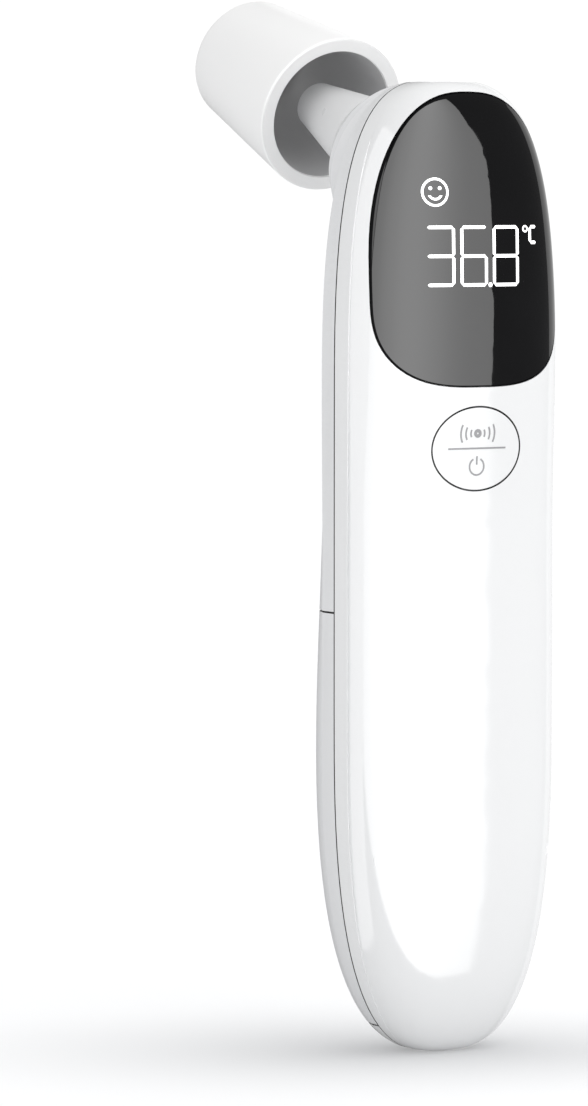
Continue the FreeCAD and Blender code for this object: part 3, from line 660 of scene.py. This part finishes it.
def laminate(name, tint, copper):
    """Solder-masked board with traces and pads under the mask."""
    made, nodes, links, shader, place = new_finish(name)
    mapping = nodes.new("ShaderNodeMapping")
    mapping.inputs["Rotation"].default_value = (math.radians(90), 0, 0)
    mapping.inputs["Scale"].default_value = (900, 900, 900)
    links.new(place, mapping.inputs["Vector"])
    traces = nodes.new("ShaderNodeTexBrick")
    traces.inputs["Scale"].default_value = 0.5
    traces.inputs["Mortar Size"].default_value = 0.05
    traces.inputs["Color1"].default_value = shade(tint, 0.9)
    traces.inputs["Color2"].default_value = shade(tint, 1.1)
    traces.inputs["Mortar"].default_value = copper
    links.new(mapping.outputs["Vector"], traces.inputs["Vector"])
    links.new(traces.outputs["Color"], shader.inputs["Base Color"])
    links.new(spread(nodes, links, noise(nodes, links, place, 0.8), 0.25, 0.4), shader.inputs["Roughness"])
    bumped(nodes, links, traces.outputs["Fac"], 0.3, 0.03, shader)
    return made


def jacket(name, tint, band, low, high):
    """Printed cell jacket with bare metal ends and a bright band below one end."""
    made, nodes, links, shader, place = new_finish(name)
    along = ranged(nodes, links, apart(nodes, links, place)["Z"], low, high, 0, 1)
    bare = (0.75, 0.75, 0.76, 1)
    stops = ((0.0, bare), (0.03, tint), (0.74, band), (0.95, bare))
    printed = ramped(nodes, links, along, "CONSTANT", stops)
    scuffs = noise(nodes, links, place, 0.7, 4.0)
    worn = mixed(nodes, links, spread(nodes, links, scuffs, 0.0, 0.25), printed, (0.6, 0.6, 0.6, 1))
    links.new(worn, shader.inputs["Base Color"])
    links.new(spread(nodes, links, scuffs, 0.2, 0.35), shader.inputs["Roughness"])
    bumped(nodes, links, scuffs, 0.15, 0.01, shader)
    shader.inputs["Metallic"].default_value = 0.6
    return made


def paint(piece, made):
    piece.data.materials.clear()
    piece.data.materials.append(made)
    return piece


# ---- casing ------------------------------------------------------------------
class THERMO_OT_casing(bpy.types.Operator):
    """Front shell, back shell and battery cover"""

    bl_idname = "thermometer.casing"
    bl_label = "Casing"

    def execute(self, context):
        tints = colours()
        front = moulded("casing_gloss_white", tints.casing, 0.08, grain=0.1, grain_depth=0.002,
                        tone=0.005)
        back = moulded("back_satin_white", tints.back, 0.3, grain=0.2, grain_depth=0.003, tone=0.006)
        # painted shade: the faces inside the parting seam, the battery cover's seams and the scan button's
        # hole are darkened
        parting = ("Y", SEAM / 2)
        cover_seams = [("Z", height + SEAM / 2) for height in (sizes().cover_top, CUP_HEIGHT)]
        hole = (KEY_HALF_X + KEY_GAP + SHADE_LAP, KEY_HALF_Z + KEY_GAP + SHADE_LAP)
        paint_gap_shade(front, tints.casing, [parting], hole=hole)
        paint_gap_shade(back, tints.back, [parting] + cover_seams)
        rows = (
            ("front_shell", "front_casing", ROOT, "shell_front", front),
            ("back_shell", "back_casing", ROOT, "shell_back", back),
            ("battery_cover", "battery_door", "battery_door", "battery_door", back),
        )
        for node, name, body, slot, made in rows:
            piece = merged_copy(node, name)
            thin_out(piece)
            polish_casing(piece)
            paint(piece, made)
            settle(piece, body, [node])
        return {"FINISHED"}


# ---- display -----------------------------------------------------------------
class THERMO_OT_lens(bpy.types.Operator):
    """Black lens over the display"""

    bl_idname = "thermometer.lens"
    bl_label = "Display lens"

    def execute(self, context):
        piece = merged_copy("display_lens", "black_lens")
        polish_casing(piece)
        paint(piece, gloss_lens("lens_gloss_black", colours().lens))
        settle(piece, ROOT, ["display_lens"])
        return {"FINISHED"}


def lay_on_front(piece, relief):
    """Bends a flat, thin piece to the casing's front so that it stands relief proud of it."""
    near = min(vertex.co.y for vertex in piece.data.vertices)
    for vertex in piece.data.vertices:
        front = front_face(vertex.co.x / MM, vertex.co.z / MM)
        vertex.co.y = -(front + relief) * MM + (vertex.co.y - near)


class THERMO_OT_figures(bpy.types.Operator):
    """Lit figures that show at the lens"""

    bl_idname = "thermometer.figures"
    bl_label = "Display figures"

    def execute(self, context):
        piece = merged_copy("display_segments", "lit_figures")
        start_edit(piece)
        bpy.ops.mesh.subdivide(number_cuts=3)
        end_edit()
        lay_on_front(piece, sizes().figure_relief)
        smooth(piece)
        paint(piece, lit("figures_lit_white", colours().figures, 1.6))
        settle(piece, ROOT, ["display_segments"])
        return {"FINISHED"}


# ---- scan button -------------------------------------------------------------
MARK_LIFT = 0.02                 # how far the marks stand off the button, in millimetres
MARK_THICKNESS = 0.05
SIGNAL_RISE = 2.35               # the signal mark's middle above the button's middle
POWER_DROP = 2.75                # the power mark's middle below it
POWER_RADIUS = 1.3
POWER_GAP = (62, 118)            # where the power mark's ring is open, in degrees
BEAM_RADII = (1.25, 2.15, 3.05)
BEAM_SPREAD = 28                 # a beam's half angle, in degrees
BEAM_STEPS = 96
DRAWN_AT = -0.05                 # marks are drawn flat here, in metres, and then laid on the front


def angle_of(x, y):
    return math.degrees(math.atan2(y, x)) % 360


def drop_faces(piece, unwanted):
    """Deletes the faces that unwanted picks."""
    for face in piece.data.polygons:
        face.select = unwanted(face)
    select_only(piece)
    bpy.ops.object.mode_set(mode="EDIT")
    bpy.ops.mesh.select_mode(type="FACE")
    bpy.ops.mesh.delete(type="FACE")
    end_edit()


def stroke_ring(name, centre, radius, width, gap_from=None, gap_to=None, steps=48):
    """A thin flat ring, or the part of it outside a gap between two angles, in the XZ plane."""
    bpy.ops.object.select_all(action="DESELECT")
    bpy.ops.mesh.primitive_circle_add(vertices=steps, radius=(radius - width / 2) * MM,
                                      location=(0, 0, 0))
    ring = bpy.context.object
    ring.name = name
    start_edit(ring)
    bpy.ops.mesh.extrude_edges_move()
    share = (radius + width / 2) / (radius - width / 2)
    bpy.ops.transform.resize(value=(share, share, 1))
    bpy.ops.mesh.select_all(action="DESELECT")
    end_edit()
    if gap_from is not None:
        drop_faces(ring, lambda face: gap_from < angle_of(face.center.x, face.center.y) < gap_to)
    ring.rotation_euler = (math.radians(90), 0, 0)
    ring.location = (centre[0] * MM, DRAWN_AT, centre[1] * MM)
    apply_place(ring)
    return ring


def stroke_bar(name, centre, size, cuts=8):
    """A thin flat bar in the XZ plane."""
    bpy.ops.object.select_all(action="DESELECT")
    bpy.ops.mesh.primitive_grid_add(x_subdivisions=cuts, y_subdivisions=2, size=1,
                                    rotation=(math.radians(90), 0, 0),
                                    location=(centre[0] * MM, DRAWN_AT, centre[1] * MM))
    bar = bpy.context.object
    bar.name = name
    bar.scale = (size[0] * MM, size[1] * MM, 1)
    apply_place(bar)
    return bar


def trim_beam(stroke):
    """Leaves of a left-hand beam only the part within its spread of straight left."""
    middle = Vector((0, 0, BUTTON_MIDDLE + SIGNAL_RISE)) * MM

    def outside(face):
        arm = face.center - middle
        return not 180 - BEAM_SPREAD < angle_of(arm.x, arm.z) < 180 + BEAM_SPREAD

    drop_faces(stroke, outside)


class THERMO_OT_button(bpy.types.Operator):
    """Scan button and the marks on it"""

    bl_idname = "thermometer.button"
    bl_label = "Scan button"

    def execute(self, context):
        tints = colours()
        key = merged_copy("scan_button", "scan_key")
        polish_casing(key)
        made = moulded("button_gloss_white", tints.casing, 0.14, grain=0.2, grain_depth=0.004,
                       tone=0.006)
        # painted shade on the scan button's edge, inside its gap
        paint_gap_shade(made, tints.casing, key=(KEY_HALF_X - SHADE_LAP, KEY_HALF_Z - SHADE_LAP))
        paint(key, made)
        settle(key, "scan_key", ["scan_button"])
        middle = BUTTON_MIDDLE
        width = sizes().mark_width
        signal = middle + SIGNAL_RISE
        power = middle - POWER_DROP
        strokes = [
            stroke_bar("divider", (0, middle + 0.05), (10.4, width)),
            stroke_ring("power_ring", (0, power), POWER_RADIUS, width, *POWER_GAP),
            stroke_bar("power_bar", (0, power + 0.95), (width, POWER_RADIUS), 2),
            stroke_ring("beam_dot", (0, signal), 0.42, 0.5),
        ]
        beams = []
        for index, radius in enumerate(BEAM_RADII):
            right = stroke_ring("beam_right_%d" % index, (0, signal), radius, width, BEAM_SPREAD,
                                360 - BEAM_SPREAD, BEAM_STEPS)
            left = stroke_ring("beam_left_%d" % index, (0, signal), radius, width, -1,
                               180 - BEAM_SPREAD, BEAM_STEPS)
            strokes += [right, left]
            beams.append(left)
        for beam in beams:
            trim_beam(beam)
        bpy.ops.object.select_all(action="DESELECT")
        for stroke in strokes:
            stroke.select_set(True)
        bpy.context.view_layer.objects.active = strokes[0]
        bpy.ops.object.join()
        marks = strokes[0]
        marks.name = "button_marks"
        marks.data.name = "button_marks"
        lay_on_front(marks, MARK_LIFT)
        thicken = marks.modifiers.new("thickness", "SOLIDIFY")
        thicken.thickness = MARK_THICKNESS * MM
        thicken.offset = 0
        apply_modifiers(marks)
        paint(marks, moulded("marks_grey", tints.marks, 0.4, grain=0.3, grain_depth=0.004, tone=0.05))
        settle(marks, "scan_key")
        return {"FINISHED"}


# ---- probe and cap -----------------------------------------------------------
STEM_RADIUS = 9.0                # the probe's stem, below its flange, in millimetres
STEM_BORE = 7.8
STEM_FOOT = -5.2                 # its lower end, from the probe seat
SHOULDER_HEIGHT = 8.5            # where the flare meets the cone
FLARE_SAG = 0.9
TIP_LENGTH = 1.0                 # the rounded part at the tip
TIP_WIDENING = 0.25
TIP_EDGE = 0.8                   # width of the tip's rounded edge
WINDOW_RADIUS = 2.2              # the infrared window's opening
WINDOW_LIP = 0.3
CORE_RADIUS = 2.6                # the bore behind the window
CORE_TOP = 20.0
CORE_FOOT = 2.0
CAP_WALL = 1.75
CAP_END_WALL = 1.6
CAP_MOUTH_WALL = 2.25            # from the mouth's outer edge to the lip inside it
CAP_LIP = 0.6                    # height of the lip that holds the lining
LIP_WIDTH = 0.7
LINER_WALL = 0.7
LINER_GAP = 0.03                 # between the lining and the cap's wall
LINER_END_GAP = 0.02             # between the lining's ends and the cap


class THERMO_OT_probe(bpy.types.Operator):
    """Collar and tapered ear probe"""

    bl_idname = "thermometer.probe"
    bl_label = "Ear probe"

    def execute(self, context):
        s = sizes()
        outer = s.collar_radius
        bore = s.collar_bore
        low = -s.collar_drop
        top = s.collar_height
        corners = [(bore, low), (outer, low), (outer, top), (bore, top)]
        collar = lathe("seat_collar", rounded(corners, {1: 0.2, 2: 0.55, 3: 0.12}))
        seat_on_probe(collar)
        paint(collar, moulded("collar_satin_white", colours().back, 0.25, grain=0.2, grain_depth=0.003,
                              tone=0.006))
        settle(collar, ROOT, ["probe_collar"])

        flange = bore - 0.05
        shoulder = (s.probe_shoulder, SHOULDER_HEIGHT)
        tip_low = (s.probe_tip + TIP_WIDENING, s.probe_length - TIP_LENGTH)
        lip = s.probe_length - WINDOW_LIP
        profile = [(STEM_BORE, STEM_FOOT), (STEM_RADIUS, STEM_FOOT), (STEM_RADIUS, low),
                   (flange, low), (flange, top)]
        profile += arc(profile[-1], shoulder, -FLARE_SAG, 14)
        profile.append(tip_low)
        profile += arc(tip_low, (s.probe_tip - TIP_EDGE, s.probe_length), 0.28, 8)
        profile += [(WINDOW_RADIUS, s.probe_length), (WINDOW_RADIUS, lip), (CORE_RADIUS, lip),
                    (CORE_RADIUS, CORE_TOP), (STEM_BORE, CORE_FOOT)]
        probe = lathe("ear_cone", profile)
        seat_on_probe(probe, 35)
        paint(probe, moulded("probe_light_grey", colours().probe, 0.28, grain=0.2, grain_depth=0.003,
                             tone=0.01))
        settle(probe, ROOT, ["ear_probe"])
        return {"FINISHED"}


class THERMO_OT_cap(bpy.types.Operator):
    """Forehead cap and its lining"""

    bl_idname = "thermometer.cap"
    bl_label = "Forehead cap"

    def execute(self, context):
        s = sizes()
        base = s.collar_height + s.cap_stand
        end = base + s.cap_length
        inner_end = end - CAP_END_WALL
        slope = (s.cap_end - s.cap_mouth) / s.cap_length
        inner_radius = s.cap_mouth + slope * (s.cap_length - CAP_END_WALL) - CAP_WALL
        lip = s.cap_mouth - CAP_MOUTH_WALL
        rebate = lip + LIP_WIDTH
        corners = [
            (s.cap_mouth, base),
            (s.cap_end, end),
            (s.cap_window, end),
            (s.cap_window, inner_end),
            (inner_radius, inner_end),
            (rebate, base + CAP_LIP),
            (lip, base + CAP_LIP),
            (lip, base),
        ]
        cap = lathe("white_cap", rounded(corners, {0: 0.4, 1: 1.6, 2: 0.4, 7: 0.2}, 8))
        seat_on_probe(cap)
        made = moulded("cap_satin_white", colours().cap, 0.3, grain=0.2, grain_depth=0.003,
                       tone=0.006)
        # painted shade: the cap's flat mouth rim is toned darker than its sides
        paint_rim_shade(made, colours().cap, base)
        paint(cap, made)
        settle(cap, "cap", ["forehead_cap"])

        low = base + CAP_LIP + LINER_END_GAP
        high = inner_end - LINER_END_GAP
        mouth = rebate - LINER_GAP
        corners = [
            (mouth - LINER_WALL, low),
            (mouth, low),
            (inner_radius - LINER_GAP, high),
            (s.cap_window, high),
            (s.cap_window, high - LINER_WALL),
            (inner_radius - LINER_GAP - LINER_WALL, high - LINER_WALL),
        ]
        liner = lathe("grey_liner", rounded(corners, {0: 0.15, 5: 0.5}))
        seat_on_probe(liner)
        paint(liner, moulded("liner_soft_grey", colours().liner, 0.5, grain=0.6, grain_depth=0.015,
                             tone=0.04))
        settle(liner, "cap", ["cap_liner"])
        return {"FINISHED"}


# ---- what is inside ----------------------------------------------------------
class THERMO_OT_inside(bpy.types.Operator):
    """Finishes of the pieces inside"""

    bl_idname = "thermometer.inside"
    bl_label = "Inside"

    def execute(self, context):
        black = moulded("moulded_black", (0.03, 0.03, 0.033, 1), 0.45, tone=0.1)
        steel = metal("drawn_steel", (0.62, 0.62, 0.63, 1), 0.3)
        nickel = metal("nickel_plate", (0.78, 0.77, 0.74, 1), 0.16, (1, 1, 3))
        left_low, left_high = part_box("battery_left")
        right_low, right_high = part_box("battery_right")
        blue = (0.06, 0.14, 0.32, 1)
        gold = (0.72, 0.50, 0.18, 1)
        finishes = {
            "lens_gasket": moulded("gasket_foam", (0.03, 0.03, 0.03, 1), 0.85, 1.0, 0.03, 0.1),
            "display_module": moulded("module_black", (0.015, 0.015, 0.018, 1), 0.5, tone=0.1),
            "main_board": laminate("board_green", (0.02, 0.16, 0.06, 1), (0.10, 0.30, 0.12, 1)),
            "board_components": black,
            "buzzer": moulded("buzzer_black", (0.04, 0.04, 0.042, 1), 0.6, tone=0.1),
            "hall_sensor": black,
            "tact_switch": metal("switch_frame", (0.66, 0.66, 0.66, 1), 0.28, (8, 1, 1)),
            "switch_plunger": moulded("plunger_black", (0.02, 0.02, 0.02, 1), 0.4, tone=0.1),
            "seat_ring": steel,
            "probe_nut": moulded("nut_black", (0.05, 0.05, 0.052, 1), 0.5, tone=0.08),
            "tip_window": moulded("filter_window", (0.10, 0.10, 0.115, 1), 0.06, 0.1, 0.002, 0.1),
            "waveguide_tube": metal("gold_plate", (0.83, 0.60, 0.24, 1), 0.15),
            "sensor_holder": metal("turned_aluminium", (0.74, 0.75, 0.76, 1), 0.28, (1, 1, 10)),
            "thermopile_sensor": nickel,
            "sensor_ribbon": moulded("ribbon_amber", (0.55, 0.24, 0.03, 1), 0.3, 0.3, 0.006, 0.06),
            "cap_magnets": nickel,
            "battery_tray": moulded("tray_dark_grey", (0.07, 0.07, 0.072, 1), 0.5, 0.8, 0.02, 0.06),
            "battery_left": jacket("cell_nub_up", blue, gold, left_low.z, left_high.z),
            "battery_right": jacket("cell_nub_down", blue, gold, right_high.z, right_low.z),
            "battery_springs": nickel,
            "contact_plates": nickel,
            "case_screws": steel,
            "board_screws": steel,
        }
        for node, made in finishes.items():
            paint(NODES[node], made)
        return {"FINISHED"}


# ---- stage -------------------------------------------------------------------
def area_light(name, place, target, size, energy, glossy, diffuse):
    """A soft rectangular light at place that faces target."""
    data = bpy.data.lights.new(name, "AREA")
    data.shape = "RECTANGLE"
    data.size, data.size_y = size
    data.energy = energy
    lamp = bpy.data.objects.new(name, data)
    bpy.context.scene.collection.objects.link(lamp)
    lamp.location = place
    away = Vector(place) - Vector(target)
    lamp.rotation_euler = away.to_track_quat("Z", "Y").to_euler()
    lamp.visible_camera = False
    lamp.visible_glossy = glossy
    lamp.visible_diffuse = diffuse
    return lamp


def fade_across(data, stops):
    """Gives a rectangular light a strength that varies over its width, from (share, strength)."""
    data.use_nodes = True
    nodes = data.node_tree.nodes
    links = data.node_tree.links
    across = apart(nodes, links, nodes.new("ShaderNodeNewGeometry").outputs["Parametric"])["X"]
    greys = [(share, (strength, strength, strength, 1)) for share, strength in stops]
    strength = ramped(nodes, links, across, "B_SPLINE", greys)
    links.new(strength, nodes["Emission"].inputs["Strength"])


def around(azimuth, distance, height):
    """A place round the body: azimuth 0 is in front of the display, 90 to its right."""
    angle = math.radians(azimuth)
    return (distance * math.sin(angle), -distance * math.cos(angle), height)


def studio_world():
    """Even white behind everything, softer in its light and dark in reflections."""
    world = bpy.data.worlds.new("studio_white")
    bpy.context.scene.world = world
    world.use_nodes = True
    nodes = world.node_tree.nodes
    links = world.node_tree.links
    nodes.clear()
    out = nodes.new("ShaderNodeOutputWorld")
    path = nodes.new("ShaderNodeLightPath")
    mix_camera = nodes.new("ShaderNodeMixShader")
    mix_gloss = nodes.new("ShaderNodeMixShader")
    levels = {"soft": 0.81, "gloss": 0.16, "seen": 1.05}
    sources = {}
    for key, strength in levels.items():
        source = nodes.new("ShaderNodeBackground")
        source.inputs["Color"].default_value = (1, 1, 1, 1)
        source.inputs["Strength"].default_value = strength
        sources[key] = source.outputs["Background"]
    links.new(path.outputs["Is Glossy Ray"], mix_gloss.inputs["Fac"])
    links.new(sources["soft"], mix_gloss.inputs[1])
    links.new(sources["gloss"], mix_gloss.inputs[2])
    links.new(path.outputs["Is Camera Ray"], mix_camera.inputs["Fac"])
    links.new(mix_gloss.outputs["Shader"], mix_camera.inputs[1])
    links.new(sources["seen"], mix_camera.inputs[2])
    links.new(mix_camera.outputs["Shader"], out.inputs["Surface"])


FLOOR_RADIUS = 6.0               # in metres, as the other places and sizes of the stage are
FLOOR_TONE = (0.70, 0.705, 0.712, 1)
FLOOR_GLOW = 0.25                # keeps the shadow under the base soft
# painted shadow: a soft grey patch round the base, stretched across the camera's view
PAINTED_SHADOW_TONE = (0.38, 0.385, 0.395, 1)
PAINTED_SHADOW_PLACE = (-0.002, -0.004, 0)
PAINTED_SHADOW_REACH = (0.11, 0.062, 1)
FRONT_BOX_PLACE = (-1.905, -1.0, 0.775)
FRONT_BOX_FADE = ((0.0, 0.6), (0.5, 0.66), (0.74, 0.88), (0.85, 1.0), (0.93, 0.8), (1.0, 0.5))
SOFT_BOXES = (                   # name, place, target, size, watts, seen by gloss only
    ("front_box", FRONT_BOX_PLACE, (FRONT_BOX_PLACE[0], 0, FRONT_BOX_PLACE[2]), (5.19, 2.45), 228, True),
    ("left_box", around(-103, 1.2, 0.3), (0, 0, 0.3), (1.1, 1.8), 14, True),
    ("right_box", around(122, 1.1, 0.1), (0, 0, 0.1), (1.15, 1.4), 3.2, True),
    ("key", around(5, 1.3, 0.15), (0, 0, 0.08), (0.9, 0.9), 3.2, False),
)
SUN_PLACE = around(75, 1.0, 1.9)
SUN_SPREAD = math.radians(75)


def lay_floor():
    """A pale floor with a painted shadow: a soft patch of grey round the base."""
    bpy.ops.object.select_all(action="DESELECT")
    bpy.ops.mesh.primitive_circle_add(vertices=96, radius=FLOOR_RADIUS, fill_type="NGON",
                                      location=(0, 0, 0))
    floor = bpy.context.object
    floor.name = "floor"
    made, nodes, links, shader, place = new_finish("floor_white")
    # painted shadow round the base, darkest at its middle
    shadow_mapping = nodes.new("ShaderNodeMapping")
    shadow_mapping.vector_type = "TEXTURE"
    shadow_mapping.inputs["Location"].default_value = PAINTED_SHADOW_PLACE
    shadow_mapping.inputs["Rotation"].default_value = (0, 0, -studio().azimuth)
    shadow_mapping.inputs["Scale"].default_value = PAINTED_SHADOW_REACH
    links.new(place, shadow_mapping.inputs["Vector"])
    shadow_fade = nodes.new("ShaderNodeTexGradient")
    shadow_fade.gradient_type = "QUADRATIC_SPHERE"
    links.new(shadow_mapping.outputs["Vector"], shadow_fade.inputs["Vector"])
    toned = mixed(nodes, links, shadow_fade.outputs["Fac"], FLOOR_TONE, PAINTED_SHADOW_TONE)
    links.new(toned, shader.inputs["Base Color"])
    shader.inputs["Roughness"].default_value = 0.9
    shader.inputs["Specular IOR Level"].default_value = 0.0
    shader.inputs["Emission Color"].default_value = (1, 1, 1, 1)
    shader.inputs["Emission Strength"].default_value = FLOOR_GLOW
    paint(floor, made)
    floor.visible_glossy = False


def hang_lights():
    """Soft boxes that only gloss sees, a soft key, and a wide sun from the right."""
    for name, place, target, size, watts, gloss_only in SOFT_BOXES:
        lamp = area_light(name, place, target, size, watts, gloss_only, not gloss_only)
        if name == "front_box":
            fade_across(lamp.data, FRONT_BOX_FADE)
    sun = bpy.data.lights.new("sun", "SUN")
    sun.energy = studio().sun
    sun.angle = SUN_SPREAD
    lamp = bpy.data.objects.new("sun", sun)
    bpy.context.scene.collection.objects.link(lamp)
    lamp.rotation_euler = Vector(SUN_PLACE).to_track_quat("Z", "Y").to_euler()
    lamp.visible_glossy = False


def set_camera():
    """A long lens to the left of the display, level with the head and looking slightly down."""
    scene = bpy.context.scene
    st = studio()
    forward = Vector((math.sin(st.azimuth), math.cos(st.azimuth), 0))
    right = Vector((math.cos(st.azimuth), -math.sin(st.azimuth), 0))
    data = bpy.data.cameras.new("camera")
    camera = bpy.data.objects.new("camera", data)
    scene.collection.objects.link(camera)
    place = -forward * st.distance - right * st.offset
    camera.location = (place.x * MM, place.y * MM, st.height * MM)
    camera.rotation_euler = (math.pi / 2 - st.pitch, 0, -st.azimuth)
    data.sensor_fit = "VERTICAL"
    data.angle = st.field
    data.clip_start = 0.01
    data.clip_end = 50.0
    scene.camera = camera


class THERMO_OT_stage(bpy.types.Operator):
    """Floor, lights and camera"""

    bl_idname = "thermometer.stage"
    bl_label = "Stage"

    def execute(self, context):
        lay_floor()
        studio_world()
        hang_lights()
        set_camera()
        context.scene.view_settings.view_transform = "Standard"
        return {"FINISHED"}


class THERMO_PT_panel(bpy.types.Panel):
    """Lists the thermometer's build steps and its values"""

    bl_idname = "THERMO_PT_panel"
    bl_label = "Ear thermometer"
    bl_space_type = "VIEW_3D"
    bl_region_type = "UI"
    bl_category = "Thermometer"

    def draw(self, context):
        for step in STEPS:
            self.layout.operator(step.bl_idname)
        for group in ("thermometer_sizes", "thermometer_colours", "thermometer_studio"):
            values = getattr(context.scene, group)
            column = self.layout.column()
            for name in values.__annotations__:
                column.prop(values, name)


STEPS = (
    THERMO_OT_casing,
    THERMO_OT_lens,
    THERMO_OT_figures,
    THERMO_OT_button,
    THERMO_OT_probe,
    THERMO_OT_cap,
    THERMO_OT_inside,
    THERMO_OT_stage,
)
GROUPS = (
    ("thermometer_sizes", ThermometerSizes),
    ("thermometer_colours", ThermometerColours),
    ("thermometer_studio", StudioSettings),
)


def register():
    for name, group in GROUPS:
        bpy.utils.register_class(group)
        setattr(bpy.types.Scene, name, bpy.props.PointerProperty(type=group))
    for step in STEPS:
        bpy.utils.register_class(step)
    bpy.utils.register_class(THERMO_PT_panel)


def unregister():
    bpy.utils.unregister_class(THERMO_PT_panel)
    for step in reversed(STEPS):
        bpy.utils.unregister_class(step)
    for name, group in reversed(GROUPS):
        delattr(bpy.types.Scene, name)
        bpy.utils.unregister_class(group)


def main():
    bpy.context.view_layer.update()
    register()
    bpy.ops.thermometer.casing()
    bpy.ops.thermometer.lens()
    bpy.ops.thermometer.figures()
    bpy.ops.thermometer.button()
    bpy.ops.thermometer.probe()
    bpy.ops.thermometer.cap()
    bpy.ops.thermometer.inside()
    bpy.ops.thermometer.stage()


if __name__ == "__main__":
    main()
